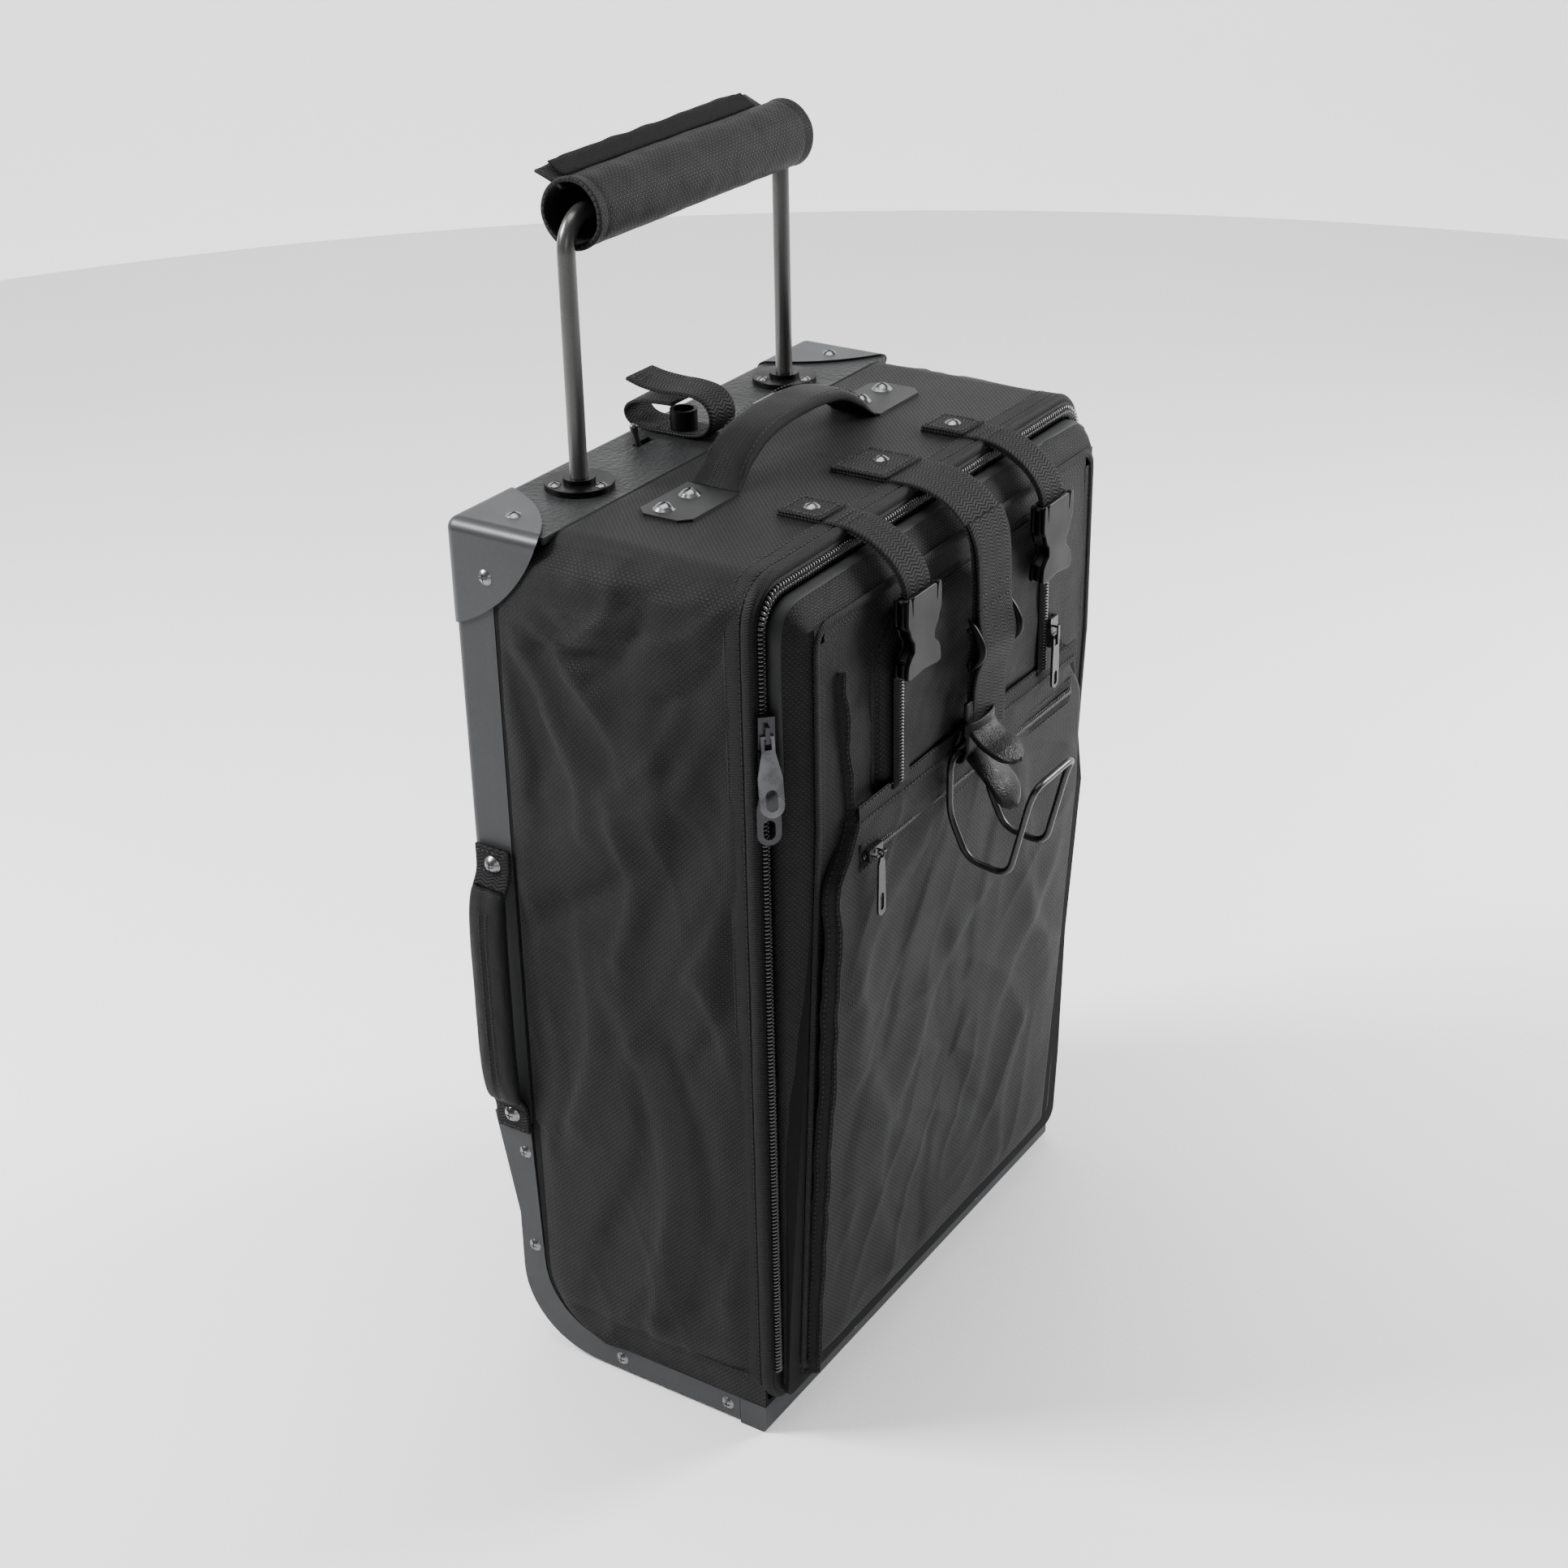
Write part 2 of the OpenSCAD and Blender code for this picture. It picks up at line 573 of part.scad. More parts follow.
module upper_slider() color("dimgray") on_main_zip(slider_z) saddle();
module lower_slider() color("dimgray") on_main_zip(slider_z - slider_step) saddle();
module upper_pull() color("silver") on_main_zip(slider_z) translate([0, pull_out, pull_drop])
    rotate([-15, 0, 0]) zip_pull(13, 42);
module lower_pull() color("dimgray") on_main_zip(slider_z - slider_step)
    translate([0, pull_out, pull_drop]) zip_pull(13, 42);

// ---------- lid ----------

lid_top = case_h - 13;
pocket_top = 398;
pocket_half = 146;
slope = 16 / 370;

function lid_front(z) = z > 400 ? -35 : -35 + (400 - z) * slope;

// Side outline of the lid, drawn in by t on every side but the back.
module lid_side(t) polygon([[lid_y0 + t, lid_hinge[1] + t], [lid_y0 + t, lid_top - t],
    [-22 + t / 2, lid_top - t], [t - 35, lid_top - 17 - t / 2], [t - 35, 400],
    [lid_front(32) + t, 32 + t], [lid_front(22) + 1 + t / 2, lid_hinge[1] + t]]);

// Plan of the lid, with its front corners taken back.
module lid_plan(t) linear_extrude(case_h) polygon([[t - lid_half, -10], [t - lid_half, -21],
    [t - lid_half + 16, -36], [lid_half - 16 - t, -36], [lid_half - t, -21], [lid_half - t, -10]]);

module lid_body(t) intersection() {
    along_x(-lid_half, lid_half) lid_side(t);
    along_y(-40, -10) panel_outline(lid_half - t, lid_hinge[1], lid_top, 16, 8);
    lid_plan(t);
}

module lid_shell() color("black") difference() {
    lid_body(0);
    lid_body(wall_t);
}

function pocket_front(z) = z > 300 ? -41 - (z - 300) / 200 : -41 + (300 - z) * 17 / 263;

// Sheet held off the lid along its top, bottom and right edges, and open down its left edge.
module lower_pocket() color("black") difference() {
    intersection() {
        along_x(-pocket_half, pocket_half) polygon([[lid_front(pocket_top) - 0.1, pocket_top],
            [pocket_front(pocket_top), pocket_top], [pocket_front(300), 300],
            [pocket_front(37), 37], [lid_front(37) - 0.1, 37]]);
        along_y(-50, -10) polygon([[-pocket_half, 37], [pocket_half, 37], [pocket_half, 300],
            [126, pocket_top], [-126, pocket_top], [-pocket_half, 300]]);
    }
    along_x(-pocket_half - 5, 122) polygon([[lid_front(390) + 5, 390], [pocket_front(390) + 2, 390],
        [pocket_front(300) + 2, 300], [pocket_front(60) + 2, 60], [lid_front(60) + 5, 60]]);
}

module upper_pocket() color("black") along_y(-42, -35.1)
    panel_outline(100, pocket_top + 1, lid_top - 30, 30, 4);

zip_face = pocket_front(pocket_zip_z) - 0.2;
side_zip_x = 88;
side_zip_z = 424;

module pocket_zips() color("black") {
    slab([-122, zip_face - 1.2, pocket_zip_z - 6], [122, zip_face, pocket_zip_z + 6]);
    slab([-121, zip_face - 2.6, pocket_zip_z - 1.5], [121, zip_face - 1.2, pocket_zip_z + 1.5]);
    both_sides() {
        slab([side_zip_x - 6, -43.2, pocket_top + 6], [side_zip_x + 6, -42, lid_top - 62]);
        slab([side_zip_x - 1.5, -44.6, pocket_top + 7], [side_zip_x + 1.5, -43.2, lid_top - 63]);
    }
}

// Small slider for the level zip: its bridge bar runs along X and carries a ring.
pocket_slider_c = [-112, zip_face - 1.2, pocket_zip_z];
bar_out = -6.2;
module pocket_slider() color("dimgray") translate(pocket_slider_c) {
    slab([-7, -3.2, -3.6], [7, -1.7, 3.6]);
    for (k = [-1, 1]) slab([-7, -1.8, k * 2.8 - 0.8], [7, -0.4, k * 2.8 + 0.8]);
    for (k = [-1, 1]) slab([k * 4.2 - 0.8, bar_out - 0.6, -0.6], [k * 4.2 + 0.8, -3.1, 0.6]);
    slab([-5, bar_out - 0.6, -0.6], [5, bar_out + 0.6, 0.6]);
}

module pocket_pull() color("dimgray") translate(pocket_slider_c + [0, bar_out, 0]) {
    rotate([0, 90, 0]) rotate_extrude($fn = 32) translate([1.9, 0]) circle(0.6, $fn = 16);
    difference() {
        along_y(-0.6, 0.6) polygon(concat(arc([0, -34], 4, 180, 360), [[3.2, -6], [1.5, -2],
            [-1.5, -2], [-3.2, -6]]));
        along_y(-2, 2) polygon(concat(arc([0, -33], 1.8, 180, 360, 8), arc([0, -26], 1.8, 0, 180, 8)));
    }
}

module side_zip_slider() color("dimgray") translate([side_zip_x, -42.8, side_zip_z]) saddle();
module side_zip_pull() color("dimgray")
    translate([side_zip_x, -42.8 + pull_out, side_zip_z + pull_drop]) zip_pull(8, 34);

// ---------- straps and hook ----------

buckle_y = -47;
buckle_z = [466, 510];

module buckle_straps() color("black") for (s = [-1, 1]) difference() {
    translate([s * strap_x, 0, 0]) along_x(-strap_w / 2, strap_w / 2)
        polygon(band(concat([[28, case_h + 0.7], [-6, case_h + 0.7]],
            bend([-12, case_h + 0.7], [-45, case_h - 4], [buckle_y, case_h - 26]),
            [[buckle_y, buckle_z[1] - 7]]), -strap_t));
    hole_at([s * strap_x, 15, case_h + 3], UP);
}

module buckles() color("black") for (s = [-1, 1]) translate([s * strap_x, buckle_y, 0]) difference() {
    slab([-17, -7.5, buckle_z[0]], [17, 2, buckle_z[1]]);
    slab([-13.2, -2.8, buckle_z[1] - 8], [13.2, 0.4, buckle_z[1] + 1]);
    slab([-12, -5.6, buckle_z[0] - 1], [12, 0, buckle_z[1] - 12]);
    for (k = [-1, 1]) slab([k * 16 - 5, -5.6, buckle_z[0] + 14], [k * 16 + 5, 0, buckle_z[1] - 16]);
}

middle_end = 402;
glide_z = 455;
module middle_strap() color("black") difference() {
    along_x(-middle_w / 2, middle_w / 2) polygon(band(concat([[38, case_h + 0.7], [-6, case_h + 0.7]],
        bend([-12, case_h + 0.7], [-46, case_h - 3], [-48, case_h - 34]),
        [[-49, glide_z], [-48, middle_end]]), -strap_t));
    hole_at([4, 20, case_h + 3], UP);
}

// Three-bar adjuster that lies over the middle strap.
module strap_glide() color("black") difference() {
    slab([-24, -56, glide_z - 14], [24, -51.7, glide_z + 14]);
    for (k = [-1, 1]) slab([-20, -60, glide_z + k * 6 - 3.2], [20, -50, glide_z + k * 6 + 3.2]);
}

hook_x = -12;
hook_half = 22;
hook_top = [-47, 393];
hook_line = [hook_top, [-47, 359], [-59, 333], [-85, 330], [-97, 379], [-101, 389]];

module j_hook() color("dimgray") {
    left = [for (p = hook_line) [hook_x - hook_half, p[0], p[1]]];
    right = [for (i = [len(hook_line)-1:-1:0]) [hook_x + hook_half, hook_line[i][0], hook_line[i][1]]];
    wire_loop(concat(left, right), 2);
}

// Leather loop round the hook's top bar, with a tab in front of the strap and an oval tongue.
module hook_leather() color("saddlebrown") difference() {
    union() {
        translate([-26, hook_top[0], hook_top[1]]) rotate([0, 90, 0]) cylinder(h = 28, r = 4.6);
        slab([-26, -53.2, hook_top[1] - 1], [2, -50.8, hook_top[1] + 30]);
        slab([-26, -51, hook_top[1] - 1], [2, -48, hook_top[1] + 4]);
        along_x(-24, 0) polygon(band(bend([-50, 392], [-60, 388], [-72, 362]), 2.5));
    }
    translate([-40, hook_top[0], hook_top[1]]) rotate([0, 90, 0]) cylinder(h = 60, r = 2.35);
}

top_channel();
left_side_rail();
right_side_rail();
left_base_plate();
right_base_plate();
front_foot();
base_panel();
back_panel();
left_corner_guard();
right_corner_guard();
frame_screws();
left_wheel_housing();
right_wheel_housing();
left_tyre();
left_hub();
left_bearings();
right_tyre();
right_hub();
right_bearings();
wheel_axles();
handle_bail();
grip_sleeve();
rod_bushes();
outer_tubes();
tube_foot();
rod_flanges();
flange_screws();
release_lever();
lever_bracket();
latch_bar();
loop_strap();
loop_stud();
blank_plate();
handle_plates();
top_handle();
side_handle();
cup_screws();
body_shell();
front_binding();
inner_panel();
main_zip();
upper_slider();
upper_pull();
lower_slider();
lower_pull();
lid_shell();
lower_pocket();
upper_pocket();
pocket_zips();
pocket_slider();
pocket_pull();
side_zip_slider();
side_zip_pull();
buckle_straps();
buckles();
middle_strap();
strap_glide();
j_hook();
hook_leather();
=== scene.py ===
"""Rolling flight case: its cloth, webbing, zips, leather and finishes, built round the packed frame."""
import json
import math

import bpy
import numpy as np
from bpy.props import FloatProperty, FloatVectorProperty, PointerProperty
from mathutils import Matrix, Vector, noise

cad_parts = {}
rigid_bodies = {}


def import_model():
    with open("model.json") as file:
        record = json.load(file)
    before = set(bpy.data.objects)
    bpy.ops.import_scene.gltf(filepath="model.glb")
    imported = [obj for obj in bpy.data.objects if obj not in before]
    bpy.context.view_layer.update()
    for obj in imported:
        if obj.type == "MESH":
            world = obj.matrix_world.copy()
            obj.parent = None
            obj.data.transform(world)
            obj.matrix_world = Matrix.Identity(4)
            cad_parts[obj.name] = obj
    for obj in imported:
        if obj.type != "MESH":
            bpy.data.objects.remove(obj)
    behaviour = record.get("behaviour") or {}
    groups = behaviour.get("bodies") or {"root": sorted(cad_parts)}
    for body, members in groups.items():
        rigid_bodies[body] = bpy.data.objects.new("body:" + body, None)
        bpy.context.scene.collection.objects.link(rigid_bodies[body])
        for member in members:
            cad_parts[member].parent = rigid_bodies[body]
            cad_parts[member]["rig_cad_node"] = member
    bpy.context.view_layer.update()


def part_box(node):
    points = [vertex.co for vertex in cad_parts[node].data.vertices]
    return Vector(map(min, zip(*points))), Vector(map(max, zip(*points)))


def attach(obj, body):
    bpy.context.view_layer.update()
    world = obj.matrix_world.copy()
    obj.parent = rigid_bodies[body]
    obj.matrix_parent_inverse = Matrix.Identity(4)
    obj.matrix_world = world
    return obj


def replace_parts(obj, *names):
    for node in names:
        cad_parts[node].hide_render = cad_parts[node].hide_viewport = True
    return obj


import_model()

bl_info = {
    "name": "Rolling Flight Case",
    "version": (1, 0, 0),
    "blender": (4, 5, 0),
    "location": "View3D > Sidebar > Flight Case",
    "description": "Builds the soft goods, hardware and finishes of a rolling flight case",
    "category": "Object",
}

MM = 0.001
ROOT = "case"


def box_mm(node):
    """Lowest and highest corner of a CAD node, in millimetres."""
    low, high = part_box(node)
    return np.array(low) / MM, np.array(high) / MM


# ---------------------------------------------------------------- places read from the frame

RAIL_LOW, _ = box_mm("left_side_rail")
CHANNEL_LOW, CHANNEL_HIGH = box_mm("top_channel")
LID_LOW, LID_HIGH = box_mm("lid_shell")
BINDING_LOW, BINDING_HIGH = box_mm("front_binding")
POCKET_LOW, POCKET_HIGH = box_mm("lower_pocket")
_, FOOT_HIGH = box_mm("front_foot")
HALF_W = FOOT_HIGH[0]
TOP_Z = CHANNEL_HIGH[2]
BACK_Y = CHANNEL_HIGH[1]
CHANNEL_Y = CHANNEL_LOW[1]
RAIL_Y = RAIL_LOW[1]
BASE_Z = FOOT_HIGH[2]


# ---------------------------------------------------------------- settings

class CaseSizes(bpy.types.PropertyGroup):
    """Sizes of the cloth details."""
    weave: FloatProperty(name="Weave", description="Width of one cell of the basket weave",
                         default=0.00155, min=0.0008, max=0.003, unit="LENGTH")
    rib: FloatProperty(name="Webbing rib", description="Distance between ribs of the webbing",
                       default=0.0021, min=0.001, max=0.004, unit="LENGTH")
    bulge: FloatProperty(name="Side bulge", description="How far the side panels stand out",
                         default=0.0045, min=0.0, max=0.009, unit="LENGTH")
    wrinkle: FloatProperty(name="Wrinkles", description="Depth of the folds in the cloth",
                           default=1.0, min=0.0, max=2.0)
    coil: FloatProperty(name="Zip pitch", description="Distance between the turns of the main zip",
                        default=0.0024, min=0.0015, max=0.004, unit="LENGTH")


class CaseColours(bpy.types.PropertyGroup):
    """Colours of the finishes."""
    nylon: FloatVectorProperty(name="Nylon", description="Colour of the woven nylon",
                               subtype="COLOR", default=(0.0036, 0.0036, 0.0038), min=0, max=1)
    webbing: FloatVectorProperty(name="Webbing", description="Colour of straps and bindings",
                                 subtype="COLOR", default=(0.0036, 0.0036, 0.0038), min=0, max=1)
    rail: FloatVectorProperty(name="Rails", description="Powder coat of the rails",
                              subtype="COLOR", default=(0.0170, 0.0176, 0.0188), min=0, max=1)
    guard: FloatVectorProperty(name="Guards", description="Paint of the corner guards",
                               subtype="COLOR", default=(0.0190, 0.0198, 0.0212), min=0, max=1)
    nickel: FloatVectorProperty(name="Nickel", description="Plating of screws and pulls",
                                subtype="COLOR", default=(0.30, 0.30, 0.31), min=0, max=1)


def sizes():
    return bpy.context.scene.flight_case_sizes


def colours():
    return bpy.context.scene.flight_case_colours


# ---------------------------------------------------------------- shader building

class Shader:
    """A material's node tree, with short calls for the nodes that the finishes use."""

    def __init__(self, name):
        self.material = bpy.data.materials.new(name)
        self.material.use_nodes = True
        self.tree = self.material.node_tree
        self.tree.nodes.clear()
        self.out = self.tree.nodes.new("ShaderNodeOutputMaterial")
        self.surface = self.tree.nodes.new("ShaderNodeBsdfPrincipled")
        self.link(self.surface.outputs[0], self.out.inputs["Surface"])

    def link(self, source, socket):
        self.tree.links.new(source, socket)

    def feed(self, socket, value):
        if isinstance(value, bpy.types.NodeSocket):
            self.link(value, socket)
        elif value is not None:
            socket.default_value = value

    def add(self, kind, **values):
        """A node with its inputs fed by name."""
        node = self.tree.nodes.new("ShaderNode" + kind)
        for name, value in values.items():
            self.feed(node.inputs[name.replace("_", " ")], value)
        return node

    def math(self, operation, a, b=None, clamp=False):
        node = self.add("Math")
        node.operation = operation
        node.use_clamp = clamp
        self.feed(node.inputs[0], a)
        self.feed(node.inputs[1], b)
        return node.outputs[0]

    def coordinates(self, kind="UV"):
        return self.add("TexCoord").outputs[kind]

    def scaled(self, vector, scale):
        scale = scale if hasattr(scale, "__len__") else (scale,) * 3
        return self.add("Mapping", Vector=vector, Scale=scale).outputs[0]

    def split(self, vector):
        return self.add("SeparateXYZ", Vector=vector).outputs

    def noise(self, vector, scale, detail=3.0, rough=0.5):
        return self.add("TexNoise", Vector=vector, Scale=scale, Detail=detail, Roughness=rough).outputs["Fac"]

    def cells(self, vector, scale):
        return self.add("TexVoronoi", Vector=vector, Scale=scale).outputs["Distance"]

    def remap(self, value, low, high, to_low, to_high):
        return self.add("MapRange", Value=value, From_Min=low, From_Max=high, To_Min=to_low,
                        To_Max=to_high).outputs[0]

    def blend(self, factor, dark, light):
        node = self.add("Mix")
        node.data_type = "RGBA"
        self.feed(node.inputs[0], factor)
        node.inputs[6].default_value = (*dark, 1)
        node.inputs[7].default_value = (*light, 1)
        return node.outputs[2]

    def bump(self, height, distance, strength=1.0, under=None):
        return self.add("Bump", Strength=strength, Distance=distance, Height=height, Normal=under).outputs[0]

    def finish(self, colour=None, rough=None, normal=None, **fixed):
        self.feed(self.surface.inputs["Base Color"], colour)
        self.feed(self.surface.inputs["Roughness"], rough)
        self.feed(self.surface.inputs["Normal"], normal)
        for name, value in fixed.items():
            self.surface.inputs[name.replace("_", " ").title().replace("Ior", "IOR")].default_value = value
        return self.material


def shade(colour, factor):
    return tuple(min(1.0, c * factor) for c in colour)


def woven(name, colour, cell, depth=0.0003, painted_sheen_gain=5.0):
    """Two-thread basket weave on a map measured in metres."""
    s = Shader(name)
    u, v, _ = s.split(s.scaled(s.coordinates(), 1 / cell))
    odd = s.math("MODULO", s.math("ADD", s.math("FLOOR", u), s.math("FLOOR", v)), 2)
    odd = s.math("ABSOLUTE", odd)

    def floats(across, along):
        threads = s.math("ABSOLUTE", s.math("SINE", s.math("MULTIPLY", across, 2 * math.pi)))
        crown = s.math("SINE", s.math("MULTIPLY", s.math("FRACT", along), math.pi))
        return s.math("MULTIPLY", s.math("POWER", threads, 0.7), s.math("POWER", crown, 0.6))

    warp, weft = floats(u, v), floats(v, u)
    height = s.math("ADD", s.math("MULTIPLY", warp, s.math("SUBTRACT", 1, odd)),
                    s.math("MULTIPLY", weft, s.math("MULTIPLY", odd, 0.86)))
    fuzz = s.noise(s.coordinates("Object"), 900, 2)
    patch = s.noise(s.coordinates("Object"), 14, 3)
    # Painted sheen: the colour is lighter on the crowns of the threads and darker on the weft cells, as
    # highlights that the threads catch.
    painted_sheen = s.math("MULTIPLY", height, s.math("SUBTRACT", 1, s.math("MULTIPLY", odd, 0.72)))
    tone = s.math("ADD", s.math("MULTIPLY", painted_sheen, 0.85), s.math("MULTIPLY", fuzz, 0.15))
    tone = s.math("MULTIPLY", tone, s.remap(patch, 0.3, 0.7, 0.75, 1.2))
    normal = s.bump(height, depth, 1.0, s.bump(fuzz, 0.00004, 0.5))
    # The light end of the blend is the painted highlight; its gain sets how bright the painted sheen is.
    return s.finish(s.blend(tone, shade(colour, 0.15), shade(colour, painted_sheen_gain)),
                    s.remap(height, 0, 1, 0.8, 0.36), normal, specular_ior_level=0.13)


def ribbed(name, colour, rib, columns=0.0042, depth=0.0006, painted_sheen_gain=4.4):
    """Webbing: ribs across the strap, in columns that lean one way and then the other."""
    s = Shader(name)
    u, v, _ = s.split(s.coordinates())
    lean = s.math("PINGPONG", u, columns)
    phase = s.math("ADD", s.math("DIVIDE", v, rib), s.math("DIVIDE", lean, rib * 2.2))
    ribs = s.math("ABSOLUTE", s.math("SINE", s.math("MULTIPLY", phase, math.pi)))
    threads = s.math("ABSOLUTE", s.math("SINE", s.math("MULTIPLY", s.math("DIVIDE", u, rib * 0.45), math.pi)))
    height = s.math("MULTIPLY", s.math("POWER", ribs, 0.7), s.remap(threads, 0, 1, 0.6, 1))
    fuzz = s.noise(s.coordinates("Object"), 1100, 2)
    # Painted highlight: the colour is lighter on the rib crowns, where the webbing would catch the light.
    tone = s.math("ADD", s.math("MULTIPLY", height, 0.7), s.math("MULTIPLY", fuzz, 0.3))
    normal = s.bump(height, depth, 0.9, s.bump(fuzz, 0.00005, 0.5))
    return s.finish(s.blend(tone, shade(colour, 0.12), shade(colour, painted_sheen_gain)),
                    s.remap(height, 0, 1, 0.9, 0.5), normal, specular_ior_level=0.11)


def painted(name, colour, grain, depth, rough, metallic=0.35, coat=0.0):
    """Sprayed coat over metal: grain size in metres, and wear that lightens the sharp edges."""
    s = Shader(name)
    place = s.coordinates("Object")
    fine = s.noise(place, 1 / grain, 2, 0.6)
    broad = s.noise(place, 22, 4)
    edge = s.add("NewGeometry").outputs["Pointiness"]
    worn = s.remap(edge, 0.52, 0.62, 0.0, 0.5)
    tone = s.math("ADD", s.math("MULTIPLY", s.math("ADD", fine, broad), 0.5), worn, clamp=True)
    return s.finish(s.blend(tone, shade(colour, 0.72), shade(colour, 1.5)),
                    s.remap(broad, 0.3, 0.7, rough - 0.05, rough + 0.07), s.bump(fine, depth, 0.8),
                    metallic=metallic, specular_ior_level=0.3, coat_weight=coat, coat_roughness=0.25)


def plated(name, colour, rough, metallic=1.0):
    s = Shader(name)
    place = s.coordinates("Object")
    smear = s.noise(place, 90, 4, 0.6)
    scratch = s.noise(s.scaled(place, (1, 1, 0.08)), 2600, 2)
    return s.finish(s.blend(smear, shade(colour, 0.7), shade(colour, 1.15)),
                    s.remap(smear, 0.3, 0.7, rough - 0.06, rough + 0.1),
                    s.bump(scratch, 0.00001, 0.6), metallic=metallic)


def moulded(name, colour, rough=0.38, grain=0.0006, depth=0.00003, gloss=0.3):
    s = Shader(name)
    place = s.coordinates("Object")
    fine = s.noise(place, 1 / grain, 3)
    broad = s.noise(place, 40, 3)
    return s.finish(s.blend(broad, shade(colour, 0.8), shade(colour, 1.35)),
                    s.remap(broad, 0.3, 0.7, rough - 0.06, rough + 0.08), s.bump(fine, depth, 0.6),
                    specular_ior_level=gloss)


def tanned(name, colour):
    s = Shader(name)
    place = s.coordinates("Object")
    grain = s.cells(place, 900)
    crease = s.noise(place, 160, 5, 0.6)
    height = s.math("ADD", grain, s.math("MULTIPLY", crease, 0.6))
    return s.finish(s.blend(crease, shade(colour, 0.6), shade(colour, 1.9)),
                    s.remap(crease, 0.3, 0.7, 0.36, 0.58), s.bump(height, 0.00022, 0.9),
                    specular_ior_level=0.11)


def looped(name, colour):
    """Brushed loops of a hook-and-loop face."""
    s = Shader(name)
    place = s.coordinates("Object")
    fuzz = s.noise(place, 1500, 5, 0.75)
    tuft = s.cells(place, 1100)
    return s.finish(s.blend(fuzz, shade(colour, 0.4), shade(colour, 2.6)), 0.95,
                    s.bump(s.math("ADD", fuzz, tuft), 0.0008, 1.0), specular_ior_level=0.1)


def brushed(name, colour, rough=0.3):
    s = Shader(name)
    lines = s.noise(s.scaled(s.coordinates("Object"), (1, 1, 0.02)), 3000, 2)
    return s.finish(s.blend(lines, shade(colour, 0.75), shade(colour, 1.1)),
                    s.remap(lines, 0.3, 0.7, rough - 0.08, rough + 0.1), s.bump(lines, 0.00001, 0.5),
                    metallic=1.0)


FINISHES = {}


def finish_of(name):
    return FINISHES[name]


def make_finishes():
    """One Blender material for each finish on the case."""
    c, z = colours(), sizes()
    nylon, web = tuple(c.nylon), tuple(c.webbing)
    # The woven and ribbed finishes carry painted sheen: their thread and rib crowns are painted lighter.
    FINISHES.update(
        nylon=woven("ballistic_nylon", nylon, z.weave),
        nylon_fine=woven("handle_nylon", nylon, z.weave * 0.58, 0.0002, 4.0),
        nylon_tight=woven("ballistic_nylon_tight", nylon, z.weave * 0.8, 0.00024),
        lining=woven("lining_cloth", (0.012, 0.012, 0.013), 0.0008, 0.00008, 1.8),
        webbing=ribbed("webbing", web, z.rib),
        binding=ribbed("binding_tape", web, z.rib * 0.72, 0.0030, 0.0003),
        zip_tape=ribbed("zip_tape", web, 0.0011, 0.002, 0.0001, 1.8),
        smooth_tape=moulded("smooth_edge_tape", (0.010, 0.0104, 0.0112), 0.62, 0.0004, 0.00008),
        thread=moulded("sewing_thread", (0.008, 0.008, 0.0085), 0.6, 0.0003, 0.00005),
        loops=looped("loop_pile", (0.008, 0.008, 0.008)),
        rail=painted("rail_powder_coat", tuple(c.rail), 0.0013, 0.00018, 0.5, 0.15),
        guard=painted("guard_satin_paint", tuple(c.guard), 0.0030, 0.00003, 0.42, 0.15, 0.05),
        channel=painted("channel_hammered_paint", (0.0055, 0.0057, 0.0060), 0.0034, 0.0010, 0.48, 0.0),
        plate=painted("handle_plate_paint", (0.0028, 0.0029, 0.0031), 0.0016, 0.00004, 0.45, 0.0),
        rod=painted("rod_black", (0.082, 0.081, 0.079), 0.0011, 0.00002, 0.30, 0.75),
        screws=plated("dark_nickel", shade(tuple(c.nickel), 0.62), 0.24),
        pull=plated("worn_nickel", tuple(c.nickel), 0.26),
        wire=plated("dipped_wire", (0.012, 0.012, 0.013), 0.3, 0.3),
        slider=plated("black_nickel", (0.045, 0.045, 0.048), 0.26, 0.85),
        coil=moulded("zip_coil", (0.006, 0.006, 0.0065), 0.24, 0.0008, 0.00001, 0.6),
        plastic=moulded("buckle_plastic", (0.0016, 0.0016, 0.0018), 0.34, gloss=0.10),
        panel=moulded("panel_plastic", (0.009, 0.009, 0.0096), 0.55, 0.0009, 0.00012),
        inner=moulded("inner_board", (0.030, 0.030, 0.032), 0.6, 0.0009, 0.0001),
        hub=moulded("hub_plastic", (0.055, 0.056, 0.058), 0.42),
        tyre=moulded("tyre_rubber", (0.009, 0.009, 0.009), 0.68, 0.0012, 0.0001),
        steel=brushed("bright_steel", (0.5, 0.5, 0.51)),
        tube=brushed("tube_metal", (0.42, 0.42, 0.43), 0.35),
        leather=tanned("stitched_leather", (0.0028, 0.0028, 0.0029)),
        label=painted("blank_plate", (0.10, 0.102, 0.106), 0.002, 0.00002, 0.4),
    )


NODE_FINISH = {
    "channel": ["top_channel"],
    "rail": ["left_side_rail", "right_side_rail", "left_base_plate", "right_base_plate", "front_foot"],
    "guard": ["left_corner_guard", "right_corner_guard"],
    "panel": ["base_panel", "back_panel", "left_wheel_housing", "right_wheel_housing", "tube_foot",
              "rod_bushes"],
    "inner": ["inner_panel"],
    "screws": ["frame_screws", "flange_screws", "cup_screws"],
    "tyre": ["left_tyre", "right_tyre"],
    "hub": ["left_hub", "right_hub"],
    "steel": ["left_bearings", "right_bearings", "wheel_axles", "lever_bracket", "latch_bar"],
    "rod": ["handle_bail", "release_lever"],
    "tube": ["outer_tubes"],
    "plastic": ["rod_flanges", "loop_stud"],
    "plate": ["handle_plates"],
    "label": ["blank_plate"],
    "slider": ["upper_slider", "lower_slider", "pocket_slider", "side_zip_slider", "lower_pull",
               "pocket_pull", "side_zip_pull"],
    "pull": ["upper_pull"],
}


# ---------------------------------------------------------------- mesh building

